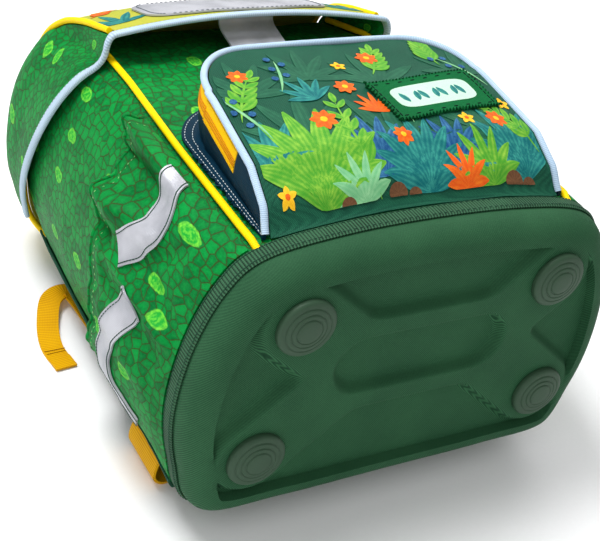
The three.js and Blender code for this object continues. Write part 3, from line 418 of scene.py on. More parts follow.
    @classmethod
    def relief(cls, across: float, out: float) -> float:
        """How much of the base's relief stands at a place: 1 raised, 0 in a recess."""
        end = (cls.front_foot[0] * 0.46, (cls.front_foot[1] + cls.rear_foot[1]) * 0.545)
        here = Vector((across, out))

        def away(first: Sequence[float], last: Sequence[float]) -> float:
            line = Vector(last) - Vector(first)
            share = clamp((here - Vector(first)).dot(line) / line.length_squared)
            return (here - Vector(first) - line * share).length

        ring = away((-end[0], end[1]), end)
        bare = smoothstep(ring, cls.foot_radius * 1.68, cls.foot_radius * 2.05)
        for sign in (-1, 1):
            for foot in (cls.front_foot, cls.rear_foot):
                near = away((sign * foot[0], foot[1]), (sign * end[0], end[1]))
                bare *= smoothstep(near, cls.foot_radius * 1.2, cls.foot_radius * 1.72)
        return (1 - bare) * smoothstep(ring, cls.foot_radius * 0.85, cls.foot_radius * 1.18)

    @classmethod
    def on_flap(cls, u: float, v: float, out: float = 0) -> Vector:
        """A point on the flap's top panel, u from -1 at the left piping to 1 at the right one."""
        def place(share: float) -> Vector:
            reach = lerp(cls.flap_back, cls.flap_reach, cls.flap_profile.smooth(share, "out"))
            return Vector((0, cls.flap_top * cls.flap_profile.smooth(share, "up"), reach))
        here = place(v)
        slope = (place(min(v + 0.02, 1)) - place(max(v - 0.02, 0))).normalized()
        normal = Vector((0, -slope.z, slope.y))
        crown = cls.flap_crown * cls.flap_profile.smooth(v, "crown") * (1 - u * u)
        here.x = u * cls.flap_width * cls.flap_profile.smooth(v, "wide") / 2
        return here + normal * (out + crown)

    @classmethod
    def flap_share(cls, distance: float) -> float:
        """The share of the flap's side view that a distance from its front edge takes up."""
        step, v, done, length = 0.01, 0.0, 0.0, 1.0
        while done < distance and v < 1:
            length = (cls.on_flap(1, v) - cls.on_flap(1, v + step)).length
            done += length
            v += step
        return v - step * (done - distance) / length

    @classmethod
    def wing_edge(cls, v: float) -> Vector:
        """The lower edge of a wing, at a share of the way along it."""
        out = lerp(cls.flap_reach - cls.wing_tip, cls.wing_last_out, v)
        rise = cls.wing_rise * (1 - out / cls.flap_reach) ** 1.3
        return Vector((0, cls.wing_front_up + rise, out))

    @classmethod
    def wing_line(cls, side: Side, v: float, out: float = 0) -> "Line":
        """A wing's line from the piping round the flap's corner and down to its edge."""
        start = cls.on_flap(1, v * cls.wing_last_row / (len(cls.flap_profile.rows) - 1), out)
        top = Vector((0, start.y, start.z))
        edge = cls.wing_edge(v)
        drop = (edge - top).length
        corner = min(cls.flap_corner, drop * 0.9)
        route = []
        samples = 24
        for step in range(samples + 1):
            half = min(2 * step / samples, 1) * math.pi / 2
            rest = max(2 * step / samples - 1, 0)
            below = corner * (1 - math.cos(half)) + (drop - corner) * rest
            place = top.lerp(edge, below / drop)
            wall = max(cls.body_side(place.z, place.y) + cls.wing_clearance, start.x + 1)
            place.x = side.value * (start.x + out + (wall - start.x) * math.sin(half))
            route.append(place)
        return Line(route)

    @classmethod
    def pocket_outline(cls, share: float, grow: float) -> Vector:
        """The front pocket's outline (x, y), from one foot over the top to the other."""
        foot = cls.pocket_top * cls.pocket_rise.row(0, "up")

        def wide(up: float) -> float:
            return cls.pocket_width / 2 * cls.pocket_rise.at("up", up / cls.pocket_top, "wide")

        radius = cls.pocket_corner + grow
        straight = cls.pocket_top - cls.pocket_corner - foot
        bend = math.pi / 2 * radius
        top = wide(cls.pocket_top) - cls.pocket_corner
        run = (straight + bend + top) * (1 - abs(share - 0.5) * 2)
        if run > straight + bend:
            place = Vector((top * (1 - (run - straight - bend) / top), cls.pocket_top + grow))
        elif run > straight:
            angle = (run - straight) / radius
            place = Vector((top + radius * math.cos(angle),
                            cls.pocket_top - cls.pocket_corner + radius * math.sin(angle)))
        else:
            place = Vector((wide(foot + run) + grow, foot + run))
        place.x *= -1 if share < 0.5 else 1
        return place

    @classmethod
    def pocket_out(cls, across: float, up: float) -> float:
        """How far the pocket's face edge stands out at a height."""
        share = min(up / cls.pocket_top, 1)
        foot = cls.pocket_top * cls.pocket_rise.row(0, "up")
        depth = cls.pocket_depth * cls.pocket_rise.at("up", share, "deep")
        return cls.body_front(across, up) + depth * lerp(0.2, 1, smoothstep(up, foot - 1, foot + 13))

    @classmethod
    def ramp(cls, share: float, part: float, grow: float = 0) -> Vector:
        """A point on the pocket's side, at a part of the way out from the body to the piping."""
        rim = cls.pocket_outline(share, grow)
        edge = cls.contour_point(cls.row_share("front_edge"), rim.y)[0]
        limit = edge - 2 * cls.piping - cls.seat
        rim.x = clamp(rim.x, -limit, limit)
        floor = cls.body_front(rim.x, rim.y) + cls.seat + cls.gusset_wall
        height = cls.pocket_out(rim.x, rim.y) - cls.piping - cls.seat - floor
        return Vector((rim.x, rim.y, floor + max(height, 1) * part))

    @classmethod
    def zip_share(cls, share: float) -> float:
        """The part of the way out where the zip starts."""
        rim = cls.pocket_outline(share, 0)
        height = cls.pocket_out(rim.x, rim.y) - cls.piping - cls.seat - cls.body_front(rim.x, rim.y)
        return 1 - min(cls.zip_width / max(height, 1), 0.62)

    @classmethod
    def on_face(cls, across: float, up: float, out: float = 0) -> Vector:
        """A point on the front pocket's face."""
        foot = cls.pocket_top * cls.pocket_rise.row(0, "up")
        bow = math.sin(math.pi * clamp((up - foot) / (cls.pocket_top - foot)))
        bulge = (1 - (across / (cls.pocket_width / 2)) ** 2) * bow
        return Vector((across, up, cls.pocket_out(across, up) + cls.pocket_crown * max(bulge, 0) + out))

    @classmethod
    def side_ends(cls, up: float) -> tuple[float, float]:
        """Where a side pocket starts and ends round the body at a height."""
        return (cls.beyond("front_edge", 2 * cls.piping, up),
                cls.beyond("rear_corner", -cls.edge_binding_width * 0.62, up))

    @classmethod
    def side_up(cls, across: float, rise: float) -> float:
        """The height of a side pocket's point."""
        mouth = cls.side_pocket_height * cls.side_fall.at("across", clamp(across), "mouth")
        return lerp(cls.tape_head + cls.gap, mouth, rise)

    @classmethod
    def side_swell(cls, across: float, rise: float) -> float:
        """How far a side pocket's belly stands off the body, from 0 to 1."""
        lean = cls.side_fall.at("across", across, "lean")
        belly = cls.side_fall.at("across", across, "belly")
        return math.sin(min(rise * 1.5, 1) * math.pi / 2) * lerp(belly, lean, smoothstep(rise, 0.3, 1))

    @classmethod
    def side_stand(cls, across: float, rise: float) -> float:
        """How far a side pocket's plain form stands off the body."""
        gathered = max(math.sin(math.pi * min(across * 1.9, 1)), 0) * rise * rise
        gather = cls.gather_depth * gathered * math.sin(2 * math.pi * cls.gather_count * across)
        return (1.5 * cls.seat + cls.side_pocket_wall
                + max(cls.side_pocket_bulge * cls.side_swell(across, rise) + gather, 0))

    @classmethod
    def side_spot(cls, side: Side, across: float, rise: float, out: float = 0) -> Vector:
        """A point on a side pocket, at shares of its run and of the height of its mouth."""
        up = cls.side_up(across, rise)
        around = lerp(*cls.side_ends(up), across)
        if side is Side.LEFT:
            around = 1 - around
        return cls.on_body(around, up, cls.side_stand(across, rise) + out)

    @classmethod
    def on_run(cls, table: Table, share: float, side: Side) -> tuple[Vector, Vector]:
        """A point of a strap's run and the direction across it."""
        def place(at: float) -> Vector:
            across = side.value * cls.pad_width * table.smooth(at, "across")
            return Vector((across, cls.pad_middle + cls.pad_height * table.smooth(at, "up"), 0))
        along = place(min(share + 0.02, 1)) - place(max(share - 0.02, 0))
        return place(share), Vector((along.y, -along.x, 0)).normalized()


class Line:
    """A line through points, walked by distance."""

    def __init__(self, points: Sequence[Vector]) -> None:
        """Keeps the points and the distance to each."""
        self.points = list(points)
        self.marks = [0.0]
        for first, last in zip(self.points, self.points[1:]):
            self.marks.append(self.marks[-1] + (last - first).length)

    @property
    def length(self) -> float:
        """The whole length."""
        return self.marks[-1]

    def at(self, distance: float) -> Vector:
        """The point at a distance from the start."""
        place = clamp(distance, 0, self.length)
        index = 0
        while index < len(self.points) - 2 and place > self.marks[index + 1]:
            index += 1
        gap = max(self.marks[index + 1] - self.marks[index], 1e-9)
        return self.points[index].lerp(self.points[index + 1], (place - self.marks[index]) / gap)


@dataclass(frozen=True)
class Shape:
    """How a sheet's grid closes, and how its edges are finished."""

    closed: bool = False
    folded: bool = False
    level: bool = False
    sharp: float = 50.0


@dataclass
class Skin:
    """The points, faces and cloth layout of a closed mesh."""

    points: list[Vector]
    faces: list[list[int]]
    layout: list[list[tuple[float, float]]]

    def add(self, other: "Skin") -> "Skin":
        """Takes another skin in and gives itself."""
        start = len(self.points)
        self.points.extend(other.points)
        self.faces.extend([[start + number for number in face] for face in other.faces])
        self.layout.extend(other.layout)
        return self


class Maker:
    @classmethod
    def build(cls, name: str, skin: Skin, sharp: float = 50.0) -> bpy.types.Object:
        """A closed object from a skin in the bag's own directions.

        Args:
            name: the piece's name.
            skin: its points in millimetres, faces and layout.
            sharp: the angle in degrees past which an edge stays sharp.

        Returns:
            The object, with smooth shading and its faces outwards.
        """
        mesh = bpy.data.meshes.new(name)
        mesh.from_pydata([Shell.to_row(place) for place in skin.points], [], skin.faces)
        chart = mesh.uv_layers.new(name="cloth")
        chart.data.foreach_set("uv", [value for face in skin.layout for spot in face for value in spot])
        thing = bpy.data.objects.new(name, mesh)
        bpy.context.scene.collection.objects.link(thing)
        cls.close(thing)
        cls.smooth(thing, sharp)
        return thing

    @staticmethod
    def pick(thing: bpy.types.Object) -> None:
        """Makes one object the only one that operators act on."""
        bpy.ops.object.select_all(action="DESELECT")
        thing.select_set(True)
        bpy.context.view_layer.objects.active = thing

    @classmethod
    def smooth(cls, thing: bpy.types.Object, sharp: float) -> None:
        """Smooth shading, with edges over an angle kept sharp."""
        cls.pick(thing)
        bpy.ops.object.shade_smooth_by_angle(angle=math.radians(sharp))

    @classmethod
    def modify(cls, thing: bpy.types.Object, kind: str, **settings: Any) -> None:
        """Adds a modifier and applies it."""
        cls.pick(thing)
        modifier = thing.modifiers.new(kind.lower(), kind)
        for key, value in settings.items():
            setattr(modifier, key, value)
        bpy.ops.object.modifier_apply(modifier=modifier.name)

    @classmethod
    def close(cls, thing: bpy.types.Object) -> None:
        """Merges doubles and turns the faces outwards."""
        cls.pick(thing)
        bpy.ops.object.mode_set(mode="EDIT")
        bpy.ops.mesh.select_all(action="SELECT")
        bpy.ops.mesh.remove_doubles(threshold=1e-6)
        bpy.ops.mesh.normals_make_consistent(inside=False)
        bpy.ops.object.mode_set(mode="OBJECT")

    @classmethod
    def skin(cls, point: Point, columns: int, rows: int,
             thickness: Union[float, Callable[[float, float], float]],
             shape: Shape = Shape()) -> Skin:
        """The closed body of a cloth under the surface point(u, v), with its layout in metres.

        Args:
            point: the surface, in millimetres, u and v from 0 to 1.
            columns: the steps of u.
            rows: the steps of v.
            thickness: measured against the normal, a number or a function of u and v.
            shape: how the grid closes.

        Returns:
            The body's points, faces and layout.
        """
        across = columns if shape.closed else columns + 1
        grid = [[point(i / columns, j / rows) for i in range(across)] for j in range(rows + 1)]

        def at(i: int, j: int) -> Vector:
            return grid[j][i % across if shape.closed else i]

        def normal_at(i: int, j: int) -> Vector:
            left = at(i - 1, j) if shape.closed or i > 0 else at(i, j)
            right = at(i + 1, j) if shape.closed or i < columns else at(i, j)
            along = at(i, min(j + 1, rows)) - at(i, max(j - 1, 0))
            normal = (right - left).cross(along)
            if shape.level and j in (0, rows):
                normal.y = 0
            return normal.normalized()

        middle = sum((normal_at(i, rows - 1) for i in range(across)), Vector()).normalized()
        points: list[Vector] = []
        for layer in (0, 1):
            for j in range(rows + 1):
                for i in range(across):
                    place = at(i, j)
                    if layer:
                        normal = middle if shape.folded and j == rows else normal_at(i, j)
                        depth = thickness(i / columns, j / rows) if callable(thickness) else thickness
                        place = place - normal * depth
                    points.append(place)
        half = across * (rows + 1)
        mid_row, mid_column = rows // 2 if not shape.folded else 0, across // 2
        run_u, run_v = [0.0], [0.0]
        for i in range(columns):
            run_u.append(run_u[-1] + (at(i + 1, mid_row) - at(i, mid_row)).length * MM)
        for j in range(rows):
            run_v.append(run_v[-1] + (grid[j + 1][mid_column] - grid[j][mid_column]).length * MM)
        skin = Skin([], [], [])
        skin.points = points

        def add(corners: Sequence[tuple[int, int, int]]) -> None:
            skin.faces.append([layer * half + j * across + (i % across if shape.closed else i)
                               for i, j, layer in corners])
            skin.layout.append([(run_u[i], run_v[j]) for i, j, _ in corners])

        for j in range(rows):
            for i in range(columns):
                add([(i, j, 0), (i + 1, j, 0), (i + 1, j + 1, 0), (i, j + 1, 0)])
                add([(i, j, 1), (i, j + 1, 1), (i + 1, j + 1, 1), (i + 1, j, 1)])
            if not shape.closed:
                add([(0, j, 0), (0, j + 1, 0), (0, j + 1, 1), (0, j, 1)])
                add([(columns, j, 0), (columns, j, 1), (columns, j + 1, 1), (columns, j + 1, 0)])
        for i in range(columns):
            add([(i, 0, 0), (i, 0, 1), (i + 1, 0, 1), (i + 1, 0, 0)])
            if not shape.folded:
                add([(i, rows, 0), (i + 1, rows, 0), (i + 1, rows, 1), (i, rows, 1)])
        return skin

    @classmethod
    def sheet(cls, name: str, point: Point, columns: int, rows: int,
              thickness: Union[float, Callable[[float, float], float]],
              shape: Shape = Shape()) -> bpy.types.Object:
        """A cloth's skin as an object of its own."""
        return cls.build(name, cls.skin(point, columns, rows, thickness, shape), shape.sharp)

    @classmethod
    def loft(cls, rings: Sequence[Sequence[Vector]], closed: bool = False) -> Skin:
        """The skin over rings of points, one after another.

        Args:
            rings: the rings, each with as many points.
            closed: whether the last ring joins the first.

        Returns:
            The skin, with the run and the way round as its layout.
        """
        sides, count = len(rings[0]), len(rings)
        run = [0.0]
        for index in range(count if closed else count - 1):
            run.append(run[-1] + (rings[(index + 1) % count][0] - rings[index][0]).length * MM)
        girth = sum((rings[0][turn] - rings[0][turn - 1]).length for turn in range(sides)) * MM / sides
        skin = Skin([place for ring in rings for place in ring], [], [])
        for index in range(len(run) - 1):
            first, second = index * sides, ((index + 1) % count) * sides
            for turn in range(sides):
                after = (turn + 1) % sides
                skin.faces.append([first + turn, first + after, second + after, second + turn])
                skin.layout.append([(run[index], turn * girth), (run[index], (turn + 1) * girth),
                                    (run[index + 1], (turn + 1) * girth),
                                    (run[index + 1], turn * girth)])
        if not closed:
            for start in (0, (count - 1) * sides):
                skin.faces.append([start + turn for turn in range(sides)])
                skin.layout.append([(0.0, turn * girth) for turn in range(sides)])
        return skin

    @classmethod
    def cord(cls, points: Sequence[Vector], radius: float, sides: int = 12) -> Skin:
        """The skin of a round cord through points."""
        rings: list[list[Vector]] = []
        up = Vector((0.3, 0.2, 0.93))
        for index, place in enumerate(points):
            along = points[min(index + 1, len(points) - 1)] - points[max(index - 1, 0)]
            along.normalize()
            up = (up - along * up.dot(along)).normalized()
            aside = along.cross(up)
            turns = [2 * math.pi * turn / sides for turn in range(sides)]
            rings.append([place + (up * math.cos(a) + aside * math.sin(a)) * radius for a in turns])
        return cls.loft(rings)

    @classmethod
    def grains(cls, seats: Sequence[Seat], size: tuple[float, float, float]) -> Skin:
        """Many small rounded grains as one skin, such as a row of stitches.

        Args:
            seats: for each grain its middle, its long direction and its outward one.
            size: half the length, width and height of a grain, in millimetres.

        Returns:
            The skin.
        """
        sides = 6
        template = [Vector((-1, 0, 0))]
        for along, wide in ((-0.72, 0.75), (0, 1.0), (0.72, 0.75)):
            for turn in range(sides):
                angle = 2 * math.pi * turn / sides
                template.append(Vector((along, wide * math.cos(angle), wide * math.sin(angle))))
        template.append(Vector((1, 0, 0)))
        last = len(template) - 1
        net: list[list[int]] = []
        for turn in range(sides):
            after = (turn + 1) % sides
            net.append([0, 1 + after, 1 + turn])
            net.append([last, last - sides + turn, last - sides + after])
            for low in (1, 1 + sides):
                net.append([low + turn, low + after, low + sides + after, low + sides + turn])
        skin = Skin([], [], [])
        for middle, along, out in seats:
            ahead = along.normalized()
            normal = (out - ahead * out.dot(ahead)).normalized()
            aside = normal.cross(ahead)
            spots = [middle + ahead * spot.x * size[0] + aside * spot.y * size[1]
                     + normal * spot.z * size[2] for spot in template]
            skin.add(Skin(spots, net, [[(0.0, 0.0)] * len(face) for face in net]))
        return skin

    @classmethod
    def finish(cls, thing: bpy.types.Object, finish: "Finish", slot: str, *nodes: str) -> bpy.types.Object:
        """Dresses a piece, lets it ride and hides the solids that it stands for.

        Args:
            thing: the piece.
            finish: its finish.
            slot: the record's material slot; not used.
            nodes: the solids that it replaces.

        Returns:
            The piece.
        """
        thing.data.materials.clear()
        thing.data.materials.append(Palette.get(finish))
        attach(thing, ROOT)
        if nodes:
            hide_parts(*nodes)
        LOG.info("%s: %d faces", thing.name, len(thing.data.polygons))
        return thing


def stitch_row(route: Callable[[float], tuple[Vector, Vector]], length: float, pitch: float,
               share: float = 0.62) -> list[Seat]:
    """Seats for a row of stitches.

    Args:
        route: gives the place and the outward direction at a share of the row.
        length: the row's length, in millimetres.
        pitch: from one stitch to the next.
        share: the part of the pitch that a stitch shows.

    Returns:
        The middle, direction and outward direction of each stitch.
    """
    count = max(int(length / pitch), 1)
    seats = []
    for index in range(count):
        place, out = route((index + 0.5) / count)
        ahead, _ = route(min((index + 0.5 + share / 2) / count, 1))
        behind, _ = route(max((index + 0.5 - share / 2) / count, 0))
        if (ahead - behind).length > 1e-6:
            seats.append((place, ahead - behind, out))
    return seats


class Signal:
    """A shader socket whose operators add the maths nodes they stand for."""

    def __init__(self, recipe: "Recipe", socket: bpy.types.NodeSocket) -> None:
        """Keeps the recipe and the socket."""
        self.recipe = recipe
        self.socket = socket

    def math(self, operation: str, *others: Union["Signal", float]) -> "Signal":
        """This value and others through one Math node."""
        inputs = {index: value for index, value in enumerate((self, *others))}
        return self.recipe.node("Math", {"operation": operation}, inputs)

    def __add__(self, other: Union["Signal", float]) -> "Signal":
        """Sum."""
        return self.math("ADD", other)

    def __sub__(self, other: Union["Signal", float]) -> "Signal":
        """Difference."""
        return self.math("SUBTRACT", other)

    def __rsub__(self, other: float) -> "Signal":
        """Difference, from the right."""
        return self.recipe.node("Math", {"operation": "SUBTRACT"}, {0: other, 1: self})

    def __mul__(self, other: Union["Signal", float]) -> "Signal":
        """Product."""
        return self.math("MULTIPLY", other)

    def sine(self) -> "Signal":
        """Sine, in radians."""
        return self.math("SINE")

    def step(self, low: float, high: float) -> "Signal":
        """0 below low, 1 above high, smooth between."""
        return self.recipe.node("MapRange", {"interpolation_type": "SMOOTHSTEP"},
                                {"Value": self, "From Min": low, "From Max": high})

    def part(self, axis: int) -> "Signal":
        """One of a vector's three values."""
        return self.recipe.node("SeparateXYZ", {}, {0: self}, axis)


class Recipe:
    """One material's node tree, with one method for every node."""

    def __init__(self, name: str) -> None:
        """Starts a material with a Principled shader."""
        self.material = bpy.data.materials.new(name)
        self.material.use_nodes = True
        self.tree = self.material.node_tree
        self.tree.nodes.clear()
        self.shader = self.tree.nodes.new("ShaderNodeBsdfPrincipled")
        output = self.tree.nodes.new("ShaderNodeOutputMaterial")
        self.tree.links.new(self.shader.outputs[0], output.inputs[0])

    def node(self, kind: str, settings: dict[str, Any], inputs: dict[Union[int, str], Any],
             output: Union[int, str] = 0) -> Signal:
        """Adds a node.

        Args:
            kind: its type, without the leading ShaderNode.
            settings: its own settings, set first. stops gives a ramp's places and colours.
            inputs: values or signals for its sockets, by number or name.
            output: the output that is wanted.

        Returns:
            That output as a signal.
        """
        made = self.tree.nodes.new("ShaderNode" + kind)
        for key, value in settings.items():
            if key == "stops":
                while len(made.color_ramp.elements) < len(value):
                    made.color_ramp.elements.new(0.5)
                for element, (place, colour) in zip(made.color_ramp.elements, value):
                    element.position = place
                    element.color = colour
            else:
                setattr(made, key, value)
        for key, value in inputs.items():
            socket = made.inputs[key]
            if isinstance(value, Signal):
                self.tree.links.new(value.socket, socket)
            else:
                socket.default_value = value
        return Signal(self, made.outputs[output])

    def cloth(self) -> Signal:
        """The place on the cloth, in metres."""
        return self.node("UVMap", {"uv_map": "cloth"}, {})

    def place(self) -> Signal:
        """The place in the row frame, in metres."""
        return self.node("TexCoord", {}, {}, "Object")

    def mix(self, first: Any, second: Any, share: Union[Signal, float]) -> Signal:
        """One colour into another by a share."""
        return self.node("Mix", {"data_type": "RGBA"}, {0: share, 6: first, 7: second}, 2)

    def noise(self, where: Signal, scale: float, detail: float = 2.0) -> Signal:
        """Soft noise from 0 to 1."""
        return self.node("TexNoise", {}, {"Vector": where, "Scale": scale, "Detail": detail})

    def cells(self, where: Signal, scale: float, feature: str, output: str,
              scatter: float = 1.0, flat: bool = True) -> Signal:
        """Cells of a Voronoi pattern."""
        settings = {"feature": feature, "voronoi_dimensions": "2D" if flat else "3D"}
        inputs = {"Vector": where, "Scale": scale, "Randomness": scatter}
        return self.node("TexVoronoi", settings, inputs, output)

    def scaled(self, where: Signal, size: tuple[float, float, float]) -> Signal:
        """A place with each direction stretched."""
        return self.node("Mapping", {}, {"Vector": where, "Scale": size})

    def weave(self, where: Signal, pitch: float) -> Signal:
        """A plain weave on any plane, from 0 to 1."""
        turn = 2 * math.pi / pitch
        x, y, z = (where.part(axis) * turn for axis in range(3))
        return (x.sine() * y.sine() + y.sine() * z.sine() + z.sine() * x.sine()) * 0.33 + 0.5

    def ribs(self, where: Signal, axis: int, pitch: float) -> Signal:
        """Ribs across one direction, from 0 to 1."""
        return (where.part(axis) * (2 * math.pi / pitch)).sine() * 0.5 + 0.5

    def twill(self, where: Signal, pitch: float) -> Signal:
        """Slanted ribs, as on a twill, from 0 to 1."""
        slant = (where.part(0) + where.part(1) + where.part(2)) * (2 * math.pi / pitch)
        return slant.sine() * 0.5 + 0.5

    def bump(self, height: Signal, depth: float, under: Optional[Signal] = None) -> Signal:
        """A surface raised by height, up to a depth in metres."""
        inputs: dict[Union[int, str], Any] = {"Height": height, "Distance": depth, "Strength": 1.0}
        if under is not None:
            inputs["Normal"] = under
        return self.node("Bump", {}, inputs, "Normal")

    def surface(self, colour: Any, roughness: Any, normal: Optional[Signal] = None,
                **plain: float) -> bpy.types.Material:
        """Joins the shader's sockets and gives the material.

        Args:
            colour: a colour or a signal for Base Color.
            roughness: a number or a signal.
            normal: a signal for Normal.
            plain: other sockets, with a low line for each space in a name.

        Returns:
            The finished material.
        """
        wanted = {"Base Color": colour, "Roughness": roughness}
        if normal is not None:
            wanted["Normal"] = normal
        wanted.update({key.replace("_", " "): value for key, value in plain.items()})
        for key, value in wanted.items():
            if isinstance(value, Signal):
                self.tree.links.new(value.socket, self.shader.inputs[key])
            else:
                self.shader.inputs[key].default_value = value
        return self.material


class Finish:
    """A finish that can make its material."""

    name: str

    def make(self) -> bpy.types.Material:
        """The finish's material."""
        raise NotImplementedError


class Palette:
    """Every finish's material, made once."""

    made: dict[str, bpy.types.Material] = {}

    @classmethod
    def get(cls, finish: Finish) -> bpy.types.Material:
        """The material of a finish."""
        if finish.name not in cls.made:
            cls.made[finish.name] = finish.make()
        return cls.made[finish.name]


@dataclass(frozen=True)
class ScaleCloth(Finish):
    """Woven polyester printed with green scales and a few lime ovals."""

    name: str = "scale cloth"
    cell: float = 0.0068
    light: Colour = srgb(4, 140, 58)
    # Darker green, mixed in at random and as painted shade towards each scale's edge.
    dark: Colour = srgb(0, 86, 38)
    line: Colour = srgb(50, 66, 26)
    oval: Colour = srgb(112, 206, 60)
    heart: Colour = srgb(30, 160, 50)

    def make(self) -> bpy.types.Material:
        """Voronoi scales in thin brown lines, mottled and with painted shade towards each edge, with blotchy
        ovals and a fine weave.
        """
        recipe = Recipe(self.name)
        cloth = recipe.cloth()
        wobble = recipe.noise(cloth, 90, 1)
        bent = recipe.node("VectorMath", {"operation": "MULTIPLY_ADD"},
                           {0: wobble, 1: (0.004, 0.004, 0), 2: cloth})
        edge = recipe.cells(bent, 1 / self.cell, "DISTANCE_TO_EDGE", "Distance", 0.8)
        tint = recipe.cells(bent, 1 / self.cell, "F1", "Color", 0.8)
        mottle = recipe.noise(cloth, 520, 3)
        cloudy = recipe.noise(cloth, 22, 2)
        # The edge term is painted shade: each scale lighter in its raised middle, darker towards its edge;
        # tint, mottle and cloudy are random tone.
        shade = (tint.part(0) * 0.22 + mottle * 0.36 + cloudy * 0.34 + edge * 0.3).step(0.25, 0.75)
        colour = recipe.mix(self.dark, self.light, shade)
        line = 1 - (edge + (mottle - 0.5) * 0.05).step(0.02, 0.08)
        colour = recipe.mix(colour, self.line, line * 0.9)
        wide = recipe.scaled(bent, (25.0, 15.0, 1.0))
        far = recipe.cells(wide, 1.0, "F1", "Distance", 0.7) + (mottle - 0.5) * 0.03
        chosen = recipe.cells(wide, 1.0, "F1", "Color", 0.7).part(1).step(0.42, 0.44)
        rim = (1 - ((far - 0.105) * 44).math("ABSOLUTE").step(0.3, 1.0)) * chosen
        inner = (1 - far.step(0.085, 0.11)) * chosen
        grain = recipe.noise(cloth, 420, 3).step(0.42, 0.62)
        colour = recipe.mix(colour, self.heart, inner * 0.9)
        colour = recipe.mix(colour, self.oval, inner * grain * 0.6)
        colour = recipe.mix(colour, self.oval, rim * (grain * 0.4 + 0.5))
        weave = recipe.weave(recipe.place(), 0.0011)
        cupped = recipe.bump(edge.step(0.0, 0.3), 0.00008)
        normal = recipe.bump(weave, 0.00007, cupped)
        return recipe.surface(colour, mottle * 0.14 + 0.46, normal, Specular_IOR_Level=0.07)


@dataclass(frozen=True)
class Cloth(Finish):
    """Plain woven cloth or twill."""

    name: str
    colour: Colour
    # Darker colour: painted shade between the threads, mixed with random tone.
    shade: Colour
    pitch: float = 0.0013
    depth: float = 0.00016
    rough: float = 0.72
    slanted: bool = False

    def make(self) -> bpy.types.Material:
        """The weave raised in the bump and painted darker between its threads, as shade there."""
        recipe = Recipe(self.name)
        where = recipe.place()
        weave = recipe.twill(where, self.pitch) if self.slanted else recipe.weave(where, self.pitch)
        cloudy = recipe.noise(where, 26, 3)
        fleck = recipe.noise(where, 1500, 1)
        # The weave term paints shade into the hollows between threads; cloudy and fleck are random tone.
        share = (weave * 0.5 + cloudy * 0.35 + fleck * 0.3).step(0.2, 0.95)
        colour = recipe.mix(self.shade, self.colour, share)
        normal = recipe.bump(weave * 0.7 + fleck * 0.5, self.depth)
        return recipe.surface(colour, cloudy * 0.12 + (self.rough - 0.06), normal, Specular_IOR_Level=0.08)


@dataclass(frozen=True)
class Tape(Finish):
    """Ribbed tape, binding, webbing or cord, with its ribs across its run."""

    name: str
    colour: Colour
    # Darker colour: painted shade in the grooves between ribs, mixed with random tone.
    shade: Colour
    pitch: float = 0.0016
    depth: float = 0.0003
    axis: int = 0
    rough: float = 0.62

    def make(self) -> bpy.types.Material:
        """Ribs on the cloth's layout, with a fine cross thread, painted darker in their grooves as shade."""
        recipe = Recipe(self.name)
        cloth = recipe.cloth()
        rib = recipe.ribs(cloth, self.axis, self.pitch)
        cross = recipe.ribs(cloth, 1 - self.axis, self.pitch * 0.7)
        cloudy = recipe.noise(recipe.place(), 45, 2)
        # The rib and cross terms paint shade into the grooves; cloudy is random tone.
        share = (rib * 0.55 + cross * 0.15 + cloudy * 0.5).step(0.1, 0.9)
        colour = recipe.mix(self.shade, self.colour, share)
        normal = recipe.bump(rib * 0.8 + cross * 0.25, self.depth)
        return recipe.surface(colour, self.rough, normal, Specular_IOR_Level=0.1)


@dataclass(frozen=True)
class Reflective(Finish):
    """Silver reflective tape with a fine net of cells."""

    name: str = "reflective tape"
    colour: Colour = srgb(186, 187, 194)
    # Darker silver: painted shade in the creases, mixed with random tone.
    shade: Colour = srgb(150, 152, 160)

    def make(self) -> bpy.types.Material:
        """Pale silver with tiny beads and soft creases, painted darker in the creases as shade."""
        recipe = Recipe(self.name)
        cloth = recipe.cloth()
        beads = recipe.cells(cloth, 900, "DISTANCE_TO_EDGE", "Distance", 0.2)
        cloudy = recipe.noise(recipe.place(), 38, 3)
        # The cloudy noise that dents the creases also darkens them: painted shade in the creases, with uneven
        # tone.
        colour = recipe.mix(self.shade, self.colour, cloudy.step(0.3, 0.7))
        normal = recipe.bump(beads.step(0, 0.3), 0.00006)
        normal = recipe.bump(cloudy, 0.0006, normal)
        return recipe.surface(colour, cloudy * 0.15 + 0.3, normal, Metallic=0.25)


@dataclass(frozen=True)
class Rubber(Finish):
    """Moulded rubber or plastic with a fine grain."""

    name: str
    colour: Colour
    rough: float = 0.55
    grain: float = 0.00004

    def make(self) -> bpy.types.Material:
        """A matt skin with dust in it."""
        recipe = Recipe(self.name)
        where = recipe.place()
        cloudy, fine = recipe.noise(where, 60, 3), recipe.noise(where, 2600, 2)
        pale = tuple(min(value * 1.25 + 0.004, 1) for value in self.colour[:3]) + (1.0,)
        colour = recipe.mix(self.colour, pale, cloudy * 0.6 + fine * 0.2)
        return recipe.surface(colour, cloudy * 0.15 + self.rough - 0.05,
                              recipe.bump(fine, self.grain), Specular_IOR_Level=0.25)


@dataclass(frozen=True)
class Print(Finish):
    """A printed motif's ink on the cloth, lighter towards its middle."""

    name: str
    colour: Colour
    shade: Colour

    def make(self) -> bpy.types.Material:
        """Ink that fades across the motif, with the cloth's weave."""
        recipe = Recipe(self.name)
        cloth, where = recipe.cloth(), recipe.place()
        fade = recipe.noise(where, 170, 3)
        veins = recipe.ribs(cloth, 0, 0.0035)
        share = (cloth.part(1) * 0.55 + fade * 0.45 + veins * 0.12).step(0.15, 0.85)
        colour = recipe.mix(self.shade, self.colour, share)
        return recipe.surface(colour, 0.55, recipe.bump(recipe.weave(where, 0.0011), 0.00008),
                              Specular_IOR_Level=0.1)


def thread(name: str, colour: Colour, shade: Colour) -> Cloth:
    """A sewing thread's finish."""
    return Cloth(name, colour, shade, 0.0006, 0.0001, 0.6)


